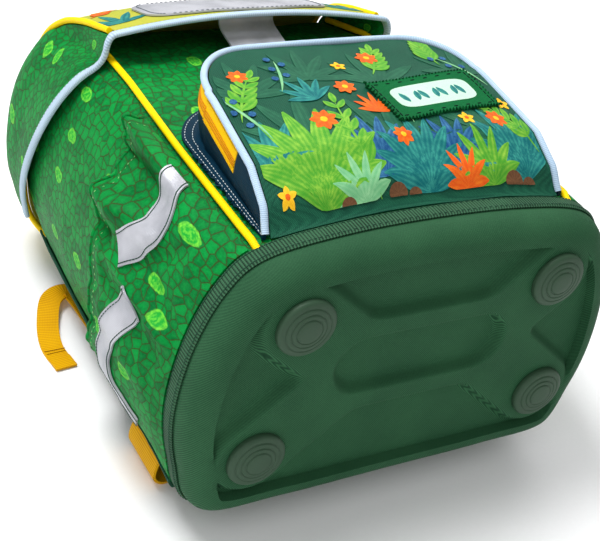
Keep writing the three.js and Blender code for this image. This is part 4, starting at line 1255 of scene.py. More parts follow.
SCALES = ScaleCloth()
# For the cloths, tapes and threads below, the second colour is painted shade in the weave's hollows or the
# ribs' grooves, mixed with random tone.
BASE_CLOTH = Cloth("base twill", srgb(56, 104, 70), srgb(22, 58, 38), 0.0013, 0.00018, 0.66, True)
FACE_CLOTH = Cloth("pocket cloth", srgb(34, 98, 72), srgb(8, 50, 40), 0.0011, 0.00008, 0.55)
FLAP_CLOTH = Cloth("flap cloth", srgb(206, 190, 60), srgb(120, 150, 60), 0.0011, 0.0001, 0.6)
PAD_CLOTH = Cloth("pad mesh", srgb(36, 88, 62), srgb(12, 42, 30), 0.0028, 0.0006, 0.8)
NAVY = Cloth("navy cloth", srgb(4, 52, 74), srgb(0, 22, 36), 0.0012, 0.0001, 0.5)
LINING = Cloth("dark lining", srgb(20, 40, 36), srgb(8, 18, 18), 0.0012, 0.0001, 0.8)
BASE_TAPE = Tape("base tape", srgb(56, 98, 70), srgb(4, 24, 16), 0.0021, 0.0004)
EDGE_TAPE = Tape("edge tape", srgb(34, 84, 62), srgb(12, 40, 32), 0.0017, 0.0003, 1)
BINDING = Tape("pale binding", srgb(186, 206, 222), srgb(146, 168, 188), 0.0015, 0.00014, 0, 0.6)
PALE_CORD = Tape("pale cord", srgb(186, 208, 228), srgb(144, 172, 198), 0.0012, 0.00012, 0, 0.6)
YELLOW_CORD = Tape("yellow cord", srgb(255, 220, 0), srgb(244, 190, 0), 0.0012, 0.00012, 0, 0.5)
WEBBING = Tape("yellow webbing", srgb(228, 172, 0), srgb(192, 132, 0), 0.0017, 0.00015, 1, 0.6)
ZIP_TAPE = Tape("zip tape", srgb(255, 208, 0), srgb(236, 176, 0), 0.0014, 0.00015, 0, 0.55)
ZIP_COIL = Tape("zip coil", srgb(226, 150, 0), srgb(150, 84, 0), 0.0013, 0.0003, 0, 0.4)
NAVY_WEBBING = Tape("navy webbing", srgb(18, 62, 86), srgb(6, 28, 44), 0.0022, 0.0004, 1, 0.65)
REFLECT = Reflective()
FOOT_RUBBER = Rubber("foot rubber", srgb(44, 70, 50), 0.5)
PLASTIC = Rubber("buckle plastic", srgb(30, 34, 40), 0.42)
WHITE_THREAD = thread("white thread", srgb(232, 238, 236), srgb(170, 184, 190))
DARK_THREAD = thread("dark thread", srgb(46, 86, 66), srgb(20, 48, 36))
GREY_THREAD = thread("grey thread", srgb(120, 128, 134), srgb(84, 90, 98))
AMBER_THREAD = thread("amber thread", srgb(170, 112, 10), srgb(110, 66, 0))
LIME_THREAD = thread("lime thread", srgb(170, 214, 150), srgb(110, 170, 96))
YELLOW_THREAD = thread("yellow thread", srgb(240, 190, 10), srgb(190, 140, 0))
FELT = Cloth("label felt", srgb(20, 116, 62), srgb(8, 66, 36), 0.0009, 0.0002, 0.85)
FELT_PALE = Cloth("label panel", srgb(206, 232, 214), srgb(160, 204, 176), 0.0009, 0.0001, 0.7)


def ripple(place: Vector, size: float, depth: float, seed: float = 0.0) -> float:
    """Soft unevenness of cloth at a place, from minus depth to depth."""
    return noise.noise(place / size + Vector((seed, seed * 1.7, seed * 0.3))) * depth


def fold(place: tuple[float, float], start: tuple[float, float], end: tuple[float, float],
         wide: float) -> float:
    """How strongly a crease from start to end shows at a place, from 0 to 1."""
    first, last, here = Vector(start), Vector(end), Vector(place)
    line = last - first
    share = clamp((here - first).dot(line) / line.length_squared)
    away = (here - first - line * share).length
    return math.exp(-(away / wide) ** 2) * (1 - abs(share - 0.5) * 0.9)


class Assembly:
    """A group of pieces that belong together."""

    def make(self) -> None:
        """Builds and dresses the pieces."""
        raise NotImplementedError

    @staticmethod
    def declare(thing: bpy.types.Object, held: str, *rests_on: str) -> None:
        """Works out the size that a sheet of cloth was cut to, and keeps nothing of it."""
        spots = [spot.uv for spot in thing.data.uv_layers["cloth"].data]
        wide, long = max(spot.x for spot in spots), max(spot.y for spot in spots)
        area = sum(face.area for face in thing.data.polygons) / 2
        wide = max(wide, area / long)

    @staticmethod
    def stitched(name: str, seats: Sequence[Seat], finish: Finish, slot: str,
                 size: tuple[float, float, float] = (1.2, 0.38, 0.34)) -> None:
        """Rows of stitches as one piece."""
        Maker.finish(Maker.build(name, Maker.grains(seats, size), 80), finish, slot)


@dataclass
class Garden:
    """Generic leaves and flowers printed on a surface, gathered by their ink."""

    spot: Callable[[float, float, float], Vector]
    lift: float = 0.42
    step: float = 0.13
    inks: dict[Print, Skin] = field(default_factory=dict)

    def petal(self, ink: Print, root: tuple[float, float], angle: float, length: float,
              width: float, bend: float = 0.0, layer: int = 0) -> None:
        """A leaf or petal.

        Args:
            ink: its ink.
            root: where it starts.
            angle: its direction in degrees, anticlockwise from the right.
            length: its length.
            width: its greatest width.
            bend: how far it turns to its tip, in degrees.
            layer: how many inks lie under it.
        """
        out = self.lift + layer * self.step

        def spine(share: float) -> tuple[Vector, Vector]:
            place = Vector(root)
            for step in range(12):
                turn = math.radians(angle + bend * share * (step + 0.5) / 12)
                place += Vector((math.cos(turn), math.sin(turn))) * length * share / 12
            heading = math.radians(angle + bend * share)
            return place, Vector((-math.sin(heading), math.cos(heading)))

        def point(u: float, v: float) -> Vector:
            place, aside = spine(v)
            half = width / 2 * max(math.sin(math.pi * lerp(0.03, 0.985, v)), 0) ** 0.75
            place += aside * half * (1 - 2 * u)
            return self.spot(place.x, place.y, out)

        self.add(ink, Maker.skin(point, 4, max(6, round(length / 3.5)), 0.15))

    def blot(self, ink: Print, middle: tuple[float, float], radius: float, layer: int = 0,
             tall: float = 1.0) -> None:
        """A round or oval spot."""
        out = self.lift + layer * self.step

        def point(u: float, v: float) -> Vector:
            angle = 2 * math.pi * u
            return self.spot(middle[0] + radius * (1 - v) * math.cos(angle),
                             middle[1] + radius * tall * (1 - v) * math.sin(angle), out)

        self.add(ink, Maker.skin(point, 16, 2, 0.15, Shape(closed=True, folded=True)))

    def stem(self, ink: Print, root: tuple[float, float], angle: float, length: float,
             bend: float = 0.0, layer: int = 0) -> list[tuple[float, float, float]]:
        """A thin stem, with the places and directions along it."""
        self.petal(ink, root, angle, length, 2.0, bend, layer)
        spots = []
        place = Vector(root)
        for step in range(12):
            turn = angle + bend * (step + 0.5) / 12
            place = place + Vector((math.cos(math.radians(turn)), math.sin(math.radians(turn)))) * length / 12
            spots.append((place.x, place.y, turn))
        return spots

    def sprig(self, ink: Print, root: tuple[float, float], angle: float, length: float,
              leaf: float, bend: float = 0.0, layer: int = 0, spread: float = 48) -> None:
        """A stem with leaves in pairs."""
        spots = self.stem(ink, root, angle, length, bend, layer)
        for index in range(2, 12, 2):
            x, y, turn = spots[index]
            size = leaf * lerp(1.0, 0.6, index / 12)
            for sign in (-1, 1):
                self.petal(ink, (x, y), turn + sign * spread, size, size * 0.42, -sign * 18, layer)
        x, y, turn = spots[-1]
        self.petal(ink, (x, y), turn, leaf * 0.7, leaf * 0.3, 0, layer)

    def fan(self, ink: Print, root: tuple[float, float], angle: float, length: float,
            blades: int, spread: float, layer: int = 0) -> None:
        """Broad blades that spread from one root."""
        for index in range(blades):
            share = index / (blades - 1) * 2 - 1
            size = length * (1 - 0.28 * share * share)
            self.petal(ink, root, angle + share * spread, size, length * 0.2, share * 26, layer)

    def flower(self, petals: Print, heart: Print, middle: tuple[float, float], radius: float,
               count: int = 6, layer: int = 1) -> None:
        """A plain round flower."""
        for index in range(count):
            self.petal(petals, middle, 360 * index / count + 12, radius, radius * 0.62, 0, layer)
        self.blot(heart, middle, radius * 0.26, layer + 1)

    def berries(self, stem: Print, fruit: Print, root: tuple[float, float], angle: float,
                length: float, size: float, layer: int = 0) -> None:
        """A bent stem with berries on both sides."""
        for index, (x, y, turn) in enumerate(self.stem(stem, root, angle, length, 24, layer)[3::2]):
            sign = -1 if index % 2 else 1
            far = math.radians(turn + sign * 60)
            reach = size * 1.9
            self.blot(fruit, (x + math.cos(far) * reach, y + math.sin(far) * reach), size, layer + 1)

    def add(self, ink: Print, skin: Skin) -> None:
        """Gathers a shape under its ink."""
        self.inks.setdefault(ink, Skin([], [], [])).add(skin)

    def print_all(self, name: str, slot: str) -> None:
        """Makes one piece of each ink."""
        for ink, skin in self.inks.items():
            thing = Maker.build(f"{name}_{ink.name.replace(' ', '_')}", skin, 70)
            Maker.finish(thing, ink, slot)


TEAL_INK = Print("teal ink", srgb(90, 204, 176), srgb(10, 96, 100))
LIME_INK = Print("lime ink", srgb(190, 228, 84), srgb(66, 146, 40))
BLUE_INK = Print("blue ink", srgb(96, 170, 206), srgb(20, 70, 118))
ORANGE_INK = Print("orange ink", srgb(250, 150, 40), srgb(216, 84, 24))
YELLOW_INK = Print("yellow ink", srgb(250, 222, 70), srgb(232, 176, 30))
SHADOW_INK = Print("shadow ink", srgb(58, 126, 90), srgb(24, 82, 60))
PALE_INK = Print("pale ink", srgb(176, 222, 170), srgb(104, 172, 120))
BROWN_INK = Print("brown ink", srgb(150, 104, 70), srgb(98, 66, 44))


@dataclass
class BodyShell(Assembly):
    """The main compartment's cloth wall and the cords down its front edges."""

    wall: float = 2.0
    foot: float = 27.3
    columns: int = 176
    rows: int = 72

    def spot(self, around: float, up: float, out: float = 0) -> Vector:
        """A point on the softly dented wall."""
        place = Shell.on_body(around, up, out)
        dent = abs(ripple(place, 62, 1.9)) + abs(ripple(place, 24, 0.7, 3))
        return Shell.on_body(around, up, out - dent * smoothstep(up, 40, 90))

    def make(self) -> None:
        """The wall, open at the top, and both cords."""
        top = Shell.body_height
        wall = Maker.sheet("body_cloth", lambda u, v: self.spot(u, lerp(self.foot, top, v)),
                           self.columns, self.rows, self.wall, Shape(closed=True, level=True))
        Maker.finish(wall, SCALES, "scale_print", "body_shell")
        for side in Side:
            share = Shell.row_share("front_edge", side)
            seat = Shell.piping + Shell.seat
            low = (Shell.tape_foot + Shell.tape_head) / 2
            route = []
            for step in range(81):
                up = lerp(low, top, step / 80)
                sunk = 3.4 * (1 - smoothstep(up, Shell.tape_head - 2, Shell.tape_head + 7))
                route.append(Shell.on_body(share, up, seat - sunk))
            cord = Maker.build(f"body_cord_{side.word}", Maker.cord(route, Shell.piping, 14))
            Maker.finish(cord, YELLOW_CORD, "yellow_trim", f"body_piping_{side.word}")


@dataclass
class Base(Assembly):
    """The moulded tray under the bag, its four rubber feet and the ribbed tape round it."""

    wall: float = 3.0
    columns: int = 420
    rings: int = 80
    rounds: int = 9
    shoulder: float = 3.4
    steps: tuple[Pair, ...] = (
        (1.0, 0.62), (0.97, 0.48), (0.92, 0.4), (0.8, 0.33), (0.785, 0.38), (0.76, 0.38),
        (0.74, 0.27), (0.62, 0.21), (0.605, 0.26), (0.58, 0.26), (0.56, 0.15), (0.46, 0.11),
        (0.445, 0.16), (0.42, 0.16), (0.4, 0.04), (0.2, 0.0))

    def make(self) -> None:
        """The tray, the feet, the tape and its stitches."""
        self.make_tray()
        for row, foot in (("front", Shell.front_foot), ("rear", Shell.rear_foot)):
            for side in Side:
                self.make_foot(f"foot_{row}_{side.word}", side.value * foot[0], foot[1])
        self.make_tape()

    def make_tray(self) -> None:
        """The tray with its round edge and softened relief."""
        edge, last = Shell.base_edge, 1 + self.rounds + self.rings
        slot = Vector((Shell.front_foot[0] * 0.46, 0, (Shell.front_foot[1] + Shell.rear_foot[1]) * 0.545))

        def point(u: float, v: float) -> Vector:
            row = round(v * last)
            if row == 0:
                return Shell.on_body(u, Shell.base_height)
            if row <= self.rounds:
                angle = (row - 1) / (self.rounds - 1) * math.pi / 2
                rim = Shell.on_body(u, Shell.base_height, -edge * (1 - math.cos(angle)))
                rim.y = Shell.foot_height + edge * (1 - math.sin(angle))
                return rim
            share = 1 - (row - self.rounds) / (self.rings + 1)
            middle = Vector((slot.x * math.sin(2 * math.pi * u), 0, slot.z))
            place = middle.lerp(Shell.on_body(u, Shell.base_height, -edge), share)
            raised = self.soft_relief(place.x, place.z) if share > 0 else 0
            place.y = Shell.foot_height + Shell.base_relief * (1 - smoothstep(raised, 0.04, 0.9))
            place.y += smoothstep(share, 1, 0.9) * ripple(place, 16, 0.25)
            return place

        shape = Shape(closed=True, folded=True, sharp=70)
        tray = Maker.sheet("base_moulding", point, self.columns, last, -self.wall, shape)
        Maker.finish(tray, BASE_CLOTH, "base_cloth", "base_tray")

    def soft_relief(self, across: float, out: float) -> float:
        """The tray's relief with rounded shoulders, from 0 to 1."""
        total = Shell.relief(across, out)
        for ring in (0.5, 1.0):
            for step in range(6):
                turn = (step + ring) * math.pi / 3
                reach = self.shoulder * ring
                total += Shell.relief(across + reach * math.cos(turn), out + reach * math.sin(turn))
        return total / 13

    def make_foot(self, name: str, across: float, out: float) -> None:
        """A round foot with rings, spun up from its seat on the tray."""
        height = Shell.foot_height - Shell.gap
        bpy.ops.object.select_all(action="DESELECT")
        bpy.ops.mesh.primitive_circle_add(vertices=64, radius=Shell.foot_radius * MM, fill_type="NGON")
        foot = bpy.context.active_object
        foot.name = name + "_rubber"
        bpy.ops.object.mode_set(mode="EDIT")
        bpy.ops.mesh.select_all(action="SELECT")
        before = (1.0, 1.0)
        for radius, up in self.steps:
            bpy.ops.mesh.extrude_region_move(
                TRANSFORM_OT_translate={"value": (0, 0, (before[1] - up) * height * MM)})
            bpy.ops.transform.resize(value=(radius / before[0], radius / before[0], 1))
            before = (radius, up)
        bpy.ops.mesh.select_all(action="SELECT")
        bpy.ops.mesh.normals_make_consistent(inside=False)
        bpy.ops.object.mode_set(mode="OBJECT")
        foot.rotation_euler = (math.pi / 2, 0, 0)
        foot.location = Shell.to_row(Vector((across, height, out)))
        bpy.ops.object.transform_apply(location=True, rotation=True, scale=True)
        Maker.modify(foot, "BEVEL", width=0.25 * MM, segments=2, limit_method="ANGLE",
                     angle_limit=math.radians(35))
        Maker.smooth(foot, 40)
        Maker.finish(foot, FOOT_RUBBER, "foot_rubber", name)

    def make_tape(self) -> None:
        """The ribbed tape that covers the tray's seam, slightly rolled at its edges."""
        def point(u: float, v: float) -> Vector:
            roll = (2 * v - 1) ** 6 * 0.7
            up = lerp(Shell.tape_foot, Shell.tape_head, v)
            return Shell.on_body(u, up, Shell.gap + Shell.tape_thickness - roll + 0.35 * (1 - roll))

        tape = Maker.sheet("base_ribbed_tape", point, 220, 8, Shell.tape_thickness * 0.9, Shape(closed=True))
        Maker.finish(tape, BASE_TAPE, "dark_tape", "base_tape")
        seats = []
        for share in (0.17, 0.83):
            up = lerp(Shell.tape_foot, Shell.tape_head, share)

            def run(around: float) -> tuple[Vector, Vector]:
                outwards = Shell.on_body(around, 30, 5) - Shell.on_body(around, 30, 0)
                return Shell.on_body(around, up, 2.15), outwards

            seats += stitch_row(run, 900, 3.3)
        self.stitched("base_tape_stitches", seats, DARK_THREAD, "dark_tape")


@dataclass
class Flap(Assembly):
    """The flap with its two wings, cords, folded binding and reflective patch."""

    columns: int = 76
    rows: int = 96
    wing_columns: int = 84
    wing_rows: int = 36
    wing_start: float = 0.045
    middle_out: float = -1.1
    reflector_width: float = 148.0
    reflector_length: float = 62.0
    reflector_start: float = 14.0

    def surface(self, u: float, v: float, out: float = 0) -> Vector:
        """A point on the softly uneven top panel."""
        place = Shell.on_flap(u, v)
        calm = 1 - u ** 8
        return Shell.on_flap(u, v, out + calm * (ripple(place, 46, 1.1) + ripple(place, 17, 0.3, 5)))

    def laid(self, across: float, down: float, out: float) -> Vector:
        """A point on the flap from its distance across and from the front edge."""
        v = Shell.flap_share(max(down, 0))
        half = Shell.on_flap(1, v).x
        return self.surface(clamp(across / half, -1, 1), v, out)

    def make(self) -> None:
        """The panel, its print and patch, the wings, the cords and the binding."""
        first = Shell.flap_share(Shell.binding_width + Shell.seat)

        def point(u: float, v: float) -> Vector:
            along = lerp(first, 1, v)
            inset = (Shell.piping + Shell.gap) / Shell.on_flap(1, along).x
            return self.surface((2 * u - 1) * (1 - inset), along)

        panel = Maker.sheet("flap_panel", point, self.columns, self.rows, Shell.flap_wall)
        Maker.finish(panel, FLAP_CLOTH, "flap_print", "flap_top")
        self.make_print()
        self.make_reflector()
        for side in Side:
            self.make_wing(side)
            start = Shell.flap_share(Shell.binding_width + 2 * Shell.piping)
            route = [Shell.on_flap(side.value, lerp(start, 0.98, step / 60)) for step in range(61)]
            cord = Maker.build(f"flap_cord_{side.word}", Maker.cord(route, Shell.piping, 14))
            Maker.finish(cord, YELLOW_CORD, "yellow_trim", f"flap_piping_{side.word}")
        self.make_binding()

    def make_print(self) -> None:
        """Simple leaves and flowers over the panel."""
        garden = Garden(self.laid)
        for across, down, angle in ((-92, 26, 100), (-60, 96, 70), (10, 104, 110), (74, 98, 84),
                                    (96, 30, 80), (-30, 160, 92), (52, 170, 75), (-92, 150, 60)):
            garden.fan(TEAL_INK, (across, down), angle, 34, 5, 62)
        for across, down, angle in ((-104, 60, 40), (-20, 130, 30), (90, 66, 140), (30, 210, 100),
                                    (-70, 205, 60), (88, 150, 120)):
            garden.sprig(ORANGE_INK, (across, down), angle, 36, 12, 20, 1)
        for across, down in ((-84, 84), (-40, 92), (34, 92), (98, 112), (-100, 118), (0, 180), (70, 215)):
            garden.flower(YELLOW_INK, ORANGE_INK, (across, down), 11)
        garden.print_all("flap", "flap_print")

    def make_reflector(self) -> None:
        """The silver patch with its stitched edge."""
        def spot(a: float, b: float, out: float) -> Vector:
            across = self.reflector_width / 2 * a * math.sqrt(1 - 0.35 * b ** 4)
            down = self.reflector_length / 2 * b * math.sqrt(1 - 0.35 * a ** 4)
            return self.laid(across, self.reflector_start + self.reflector_length / 2 + down, out)

        def border(share: float) -> tuple[Vector, Vector]:
            side, along = divmod(clamp(share, 0, 0.9999) * 4, 1)
            a, b = 0.94, (2 * along - 1) * 0.9
            for _ in range(int(side)):
                a, b = -b, a
            return spot(a, b, 2.0), Vector((0, 0.4, 1))

        top = Shell.seat + Shell.strip_thickness
        patch = Maker.sheet("reflective_patch", lambda u, v: spot(2 * u - 1, 2 * v - 1, top), 60, 30,
                            Shell.strip_thickness)
        Maker.finish(patch, REFLECT, "reflective", "flap_reflector")
        self.stitched("reflective_patch_stitches", stitch_row(border, 390, 3.4), GREY_THREAD, "reflective")

    def make_wing(self, side: Side) -> None:
        """One wing, from the cord round the flap's corner to the binding."""
        lines = [Shell.wing_line(side, lerp(self.wing_start, 1, i / self.wing_columns))
                 for i in range(self.wing_columns + 1)]

        def point(u: float, v: float) -> Vector:
            line = lines[round(u * self.wing_columns)]
            far = line.length - Shell.binding_width - Shell.seat
            place = line.at(lerp(Shell.piping + 2 * Shell.seat, far, v))
            calm = math.sin(math.pi * v) ** 0.5
            place.x += side.value * calm * (ripple(place, 40, 1.3, 2) + ripple(place, 15, 0.3, 7))
            return place

        wing = Maker.sheet(f"flap_wing_cloth_{side.word}", point, self.wing_columns, self.wing_rows,
                           -side.value * Shell.wing_wall)
        Maker.finish(wing, SCALES, "scale_print", f"flap_wing_{side.word}")

    def binding_rows(self) -> list[tuple[Vector, Vector]]:
        """The binding's edge and inside, from the middle of the flap's front to a wing's far end."""
        inside, width = Shell.flap_share(Shell.binding_width), Shell.binding_width
        rows = [tuple(Shell.on_flap(step / 30, v, self.middle_out) for v in (0, inside))
                for step in range(31)]
        inner = inside * (len(Shell.flap_profile.rows) - 1) / Shell.wing_last_row
        front = Shell.wing_line(Side.RIGHT, 0, -0.9)
        second = Shell.wing_line(Side.RIGHT, inner, -0.9)
        for step in range(1, 15):
            share = step / 14
            rows.append((front.at(front.length * share), second.at((second.length - width) * share)))
        for step in range(1, 61):
            line = Shell.wing_line(Side.RIGHT, lerp(inner, 1, step / 60), -0.9)
            rows.append((line.at(line.length), line.at(line.length - width)))
        return rows

    def make_binding(self) -> None:
        """The folded binding round the flap's free edge, with its stitches."""
        rows = self.binding_rows()
        mirrored = [tuple(Vector((-p.x, p.y, p.z)) for p in row) for row in reversed(rows[1:])]
        rows = mirrored + rows
        for _ in range(2):
            rows = [rows[0]] + [
                tuple((rows[i - 1][k] + rows[i][k] * 2 + rows[i + 1][k]) / 4 for k in (0, 1))
                for i in range(1, len(rows) - 1)] + [rows[-1]]
        middles = [(edge + inside) / 2 for edge, inside in rows]
        rings, tops = [], []
        for index, (edge, inside) in enumerate(rows):
            along = middles[min(index + 1, len(rows) - 1)] - middles[max(index - 1, 0)]
            over = (inside - edge).normalized()
            normal = over.cross(along).normalized()
            centre = Vector((0, 200, 80))
            if normal.dot(middles[index] - centre) < 0:
                normal.negate()
            half = (inside - edge).length / 2
            ring = []
            for turn in range(16):
                angle = 2 * math.pi * turn / 16
                cosine, sine = math.cos(angle), math.sin(angle)
                wide = math.copysign(abs(cosine) ** 0.7, cosine) * half
                tall = math.copysign(abs(sine) ** 0.75, sine) * Shell.binding_thickness / 2
                ring.append(middles[index] + over * wide + normal * tall)
            rings.append(ring)
            top = middles[index] + over * half * 0.52 + normal * Shell.binding_thickness * 0.46
            tops.append((top, normal))
        binding = Maker.build("flap_folded_binding", Maker.loft(rings), 60)
        Maker.finish(binding, BINDING, "light_binding", "flap_binding")
        route = Line([place for place, _ in tops])

        def run(share: float) -> tuple[Vector, Vector]:
            here = route.at(share * route.length)
            return here, tops[min(int(share * len(tops)), len(tops) - 1)][1]

        self.stitched("flap_binding_stitches", stitch_row(run, route.length, 3.2),
                      GREY_THREAD, "light_binding", (1.0, 0.26, 0.24))


@dataclass
class Closure(Assembly):
    """The grey tape under the flap's front edge with a rolled loop on it."""

    loop_share: float = 0.6
    loop_middle: float = 0.12
    turns: float = 1.8

    def make(self) -> None:
        """The tape and the loop."""
        width = Shell.closure_width
        seat = (Shell.body_front(width / 2, Shell.closure_up) + Shell.seat
                + Shell.front_crown * 0.15 + Shell.closure_tape)
        behind = Shell.flap_wall + 1.5 * Shell.seat
        under = Shell.on_flap(0, Shell.flap_share(Shell.binding_width * 2), -behind)
        ends = [Vector((0, Shell.closure_up, seat)),
                Vector((0, Shell.closure_up + Shell.closure_length * 0.6, seat + Shell.seat)),
                Vector((0, under.y - Shell.binding_thickness, (seat + under.z) / 2)), under]

        def along(share: float) -> Vector:
            place = clamp(share) * 3
            first = min(int(place), 2)
            near = [ends[min(max(first + step, 0), 3)] for step in (-1, 0, 1, 2)]
            return Vector([catmull(*(p[axis] for p in near), place - first) for axis in range(3)])

        def tape(u: float, v: float) -> Vector:
            place = along(v)
            place.x = (u - 0.5) * width
            return place

        thing = Maker.sheet("closure_ribbon", tape, 16, 30, Shell.closure_tape)
        Maker.finish(thing, REFLECT, "reflective", "closure_tape")
        self.declare(thing, "hung", "flap_panel")
        centre = along(0.32)
        radius = Shell.closure_roll + Shell.closure_tape

        def loop(u: float, v: float) -> Vector:
            angle = (self.turns * v - 0.5) * math.pi
            return Vector((width * (self.loop_middle + self.loop_share * (u - 0.5)),
                           centre.y + radius * math.cos(angle),
                           centre.z + Shell.seat + radius * (1 + math.sin(angle))))

        thing = Maker.sheet("closure_roll", loop, 12, 30, -Shell.closure_tape)
        Maker.finish(thing, REFLECT, "reflective", "closure_loop")
        self.declare(thing, "folded", "closure_ribbon")


@dataclass
class FrontPocket(Assembly):
    """The front pocket: navy gusset, yellow zip, printed face, pale cord and label."""

    columns: int = 180
    rows: int = 48
    label_width: float = 88.0
    label_height: float = 40.0
    label_turn: float = 8.0
    label_middle: Pair = (43.0, 110.0)
    label_thickness: float = 1.6

    @staticmethod
    def share_at(part: float) -> float:
        """The share round the pocket at a part of the gusset's run."""
        return lerp(0.004, 0.996, part)

    def wall_spot(self, share: float, part: float, out: float = 0) -> Vector:
        """A point on the pocket's side, pressed a little out between its seams."""
        place = Shell.ramp(share, part, 0)
        away = Shell.pocket_outline(share, 1) - Shell.pocket_outline(share, 0)
        swell = math.sin(math.pi * clamp(part)) * 1.2 + out + ripple(place, 20, 0.4, 4)
        return place + Vector((away.x, away.y, 0)).normalized() * swell

    def face_spot(self, across: float, up: float, out: float = 0) -> Vector:
        """A point on the softly uneven face."""
        place = Shell.on_face(across, up)
        edge = 1 - abs(across / (Shell.pocket_width / 2)) ** 6
        dent = ripple(place, 44, 1.5, 1) + ripple(place, 20, 0.35, 8)
        return Shell.on_face(across, up, out + dent * clamp(edge))

    def inside_spot(self, across: float, up: float, out: float) -> Vector:
        """A point of the print, kept clear of the cord round the face."""
        margin, corner = 5.0, Shell.pocket_corner
        up = clamp(up, 44, Shell.pocket_top - margin)
        wide = Shell.pocket_width / 2 * Shell.pocket_rise.at("up", up / Shell.pocket_top, "wide")
        across = clamp(across, margin - wide, wide - margin)
        middle = Vector((math.copysign(Shell.pocket_width * 0.465 - corner, across),
                         Shell.pocket_top - corner))
        away = Vector((across, up)) - middle
        if away.y > 0 and away.x * across > 0 and away.length > corner - margin:
            away *= (corner - margin) / away.length
        return self.face_spot(middle.x + away.x, middle.y + away.y, out)

    def make(self) -> None:
        """All the pocket's pieces."""
        self.make_gusset()
        self.make_zip()
        self.make_face()
        self.make_print()
        self.make_label()

    def make_gusset(self) -> None:
        """The navy wall with the flange that is sewn to the body."""
        def point(u: float, v: float) -> Vector:
            share = self.share_at(u)
            top = Shell.ramp(share, Shell.zip_share(share))
            top.z -= Shell.seat
            base = Shell.ramp(share, 0)
            inset = min(Shell.flange_width / 3, (top.z - base.z) / 4)
            if v < 0.35:
                grow = lerp(Shell.flange_width, -inset * 0.4, v / 0.35)
                taps = [Shell.ramp(clamp(share + step * 0.004), 0, grow) for step in range(-3, 4)]
                return sum(taps, Vector((0, 0, 0))) / len(taps)
            rise = (v - 0.35) / 0.65
            foot = Shell.ramp(share, 0, -inset)
            place = foot.lerp(top, rise)
            away = Shell.pocket_outline(share, 1) - Shell.pocket_outline(share, 0)
            push = math.sin(math.pi * rise) * 1.4 + ripple(place, 22, 0.9, 4) * math.sin(math.pi * rise)
            return place + Vector((away.x, away.y, 0)).normalized() * push

        wall = Maker.sheet("pocket_wall", point, self.columns, 20, -Shell.gusset_wall)
        Maker.finish(wall, NAVY, "navy_cloth", "pocket_gusset")
        seats = []
        for part in (0.22, 0.7):
            def run(share: float) -> tuple[Vector, Vector]:
                around = self.share_at(share)
                place = Shell.ramp(around, 0, Shell.flange_width).lerp(Shell.ramp(around, 0, -1), part)
                return place + Vector((0, 0, 0.12)), Vector((0, 0, 1))
            seats += stitch_row(run, 500, 3.3)
        self.stitched("pocket_flange_stitches", seats, WHITE_THREAD, "navy_cloth", (1.0, 0.3, 0.28))

    def make_zip(self) -> None:
        """The zip's tapes and coil, and the plain ends below it."""
        end = 0.0
        while Shell.pocket_outline(self.share_at(end), 0).y < Shell.zip_end_up:
            end += 1 / 36
        parts = (("zip_end_cloth_left", 0.0, end, NAVY, "navy_cloth", "zip_end_left"),
                 ("zip_tapes", end, 1 - end, ZIP_TAPE, "zip_tape", "pocket_zip"),
                 ("zip_end_cloth_right", 1 - end, 1.0, NAVY, "navy_cloth", "zip_end_right"))
        for name, start, stop, finish, slot, node in parts:
            first = self.share_at(start) + (0.002 if start > 0 else 0)

            def point(u: float, v: float) -> Vector:
                share = lerp(first, self.share_at(stop), u)
                return self.wall_spot(share, lerp(Shell.zip_share(share), 1, v))

            steps = max(int((stop - start) * self.columns), 12)
            band = Maker.sheet(name, point, steps, 10, -Shell.gusset_wall)
            Maker.finish(band, finish, slot, node)
        low, high = self.share_at(end) + 0.002, self.share_at(1 - end)
        coil = Skin([], [], [])
        for part in (0.26, 0.38, 0.5):
            route = [self.zip_side(lerp(low, high, step / 200), part)[0] for step in range(201)]
            coil.add(Maker.cord(route, 0.5, 6))
        Maker.finish(Maker.build("zip_coil", coil), ZIP_COIL, "zip_tape")
        seats = []
        for part in (0.08, 0.9):
            def run(share: float) -> tuple[Vector, Vector]:
                return self.zip_side(lerp(low, high, share), part)

            seats += stitch_row(run, 430, 3.2)
        self.stitched("zip_stitches", seats, YELLOW_THREAD, "zip_tape")

    def zip_side(self, share: float, part: float) -> tuple[Vector, Vector]:
        """A place on the zip's tape with its outward direction."""
        away = Shell.pocket_outline(share, 1) - Shell.pocket_outline(share, 0)
        out = Vector((away.x, away.y, 0)).normalized()
        return self.wall_spot(share, lerp(Shell.zip_share(share), 1, part), 0.15), out

    def make_face(self) -> None:
        """The face and the cord round it."""
        foot = Shell.pocket_top * Shell.pocket_rise.row(0, "up")
        middle = Vector((0, (foot + Shell.pocket_top) / 2))
        inset = -(Shell.piping + Shell.seat)

        def rim(u: float) -> Vector:
            around = u * 1.25
            if around <= 1:
                return Shell.pocket_outline(around, inset)
            low = Shell.pocket_outline(1, inset).lerp(Shell.pocket_outline(0, inset), (around - 1) / 0.25)
            low.y -= 1.2
            return low

        def point(u: float, v: float) -> Vector:
            place = middle.lerp(rim(u), 1 - v)
            return self.face_spot(place.x, place.y)

        def depth(u: float, v: float) -> float:
            up = middle.lerp(rim(u), 1 - v).y
            return -lerp(0.9, Shell.pocket_wall, smoothstep(up, foot, foot + 12))

        face = Maker.sheet("pocket_panel", point, self.columns, self.rows, depth,
                           Shape(closed=True, folded=True))
        Maker.finish(face, FACE_CLOTH, "pocket_print", "pocket_face")
        route = []
        for step in range(181):
            place = Shell.pocket_outline(lerp(0.006, 0.994, step / 180), 0)
            least = Shell.body_front(place.x, place.y) + Shell.piping + Shell.gap
            route.append(Vector((place.x, place.y, max(Shell.pocket_out(place.x, place.y), least))))
        cord = Maker.build("pocket_cord", Maker.cord(route, Shell.piping, 14))
        Maker.finish(cord, PALE_CORD, "light_binding", "pocket_piping")

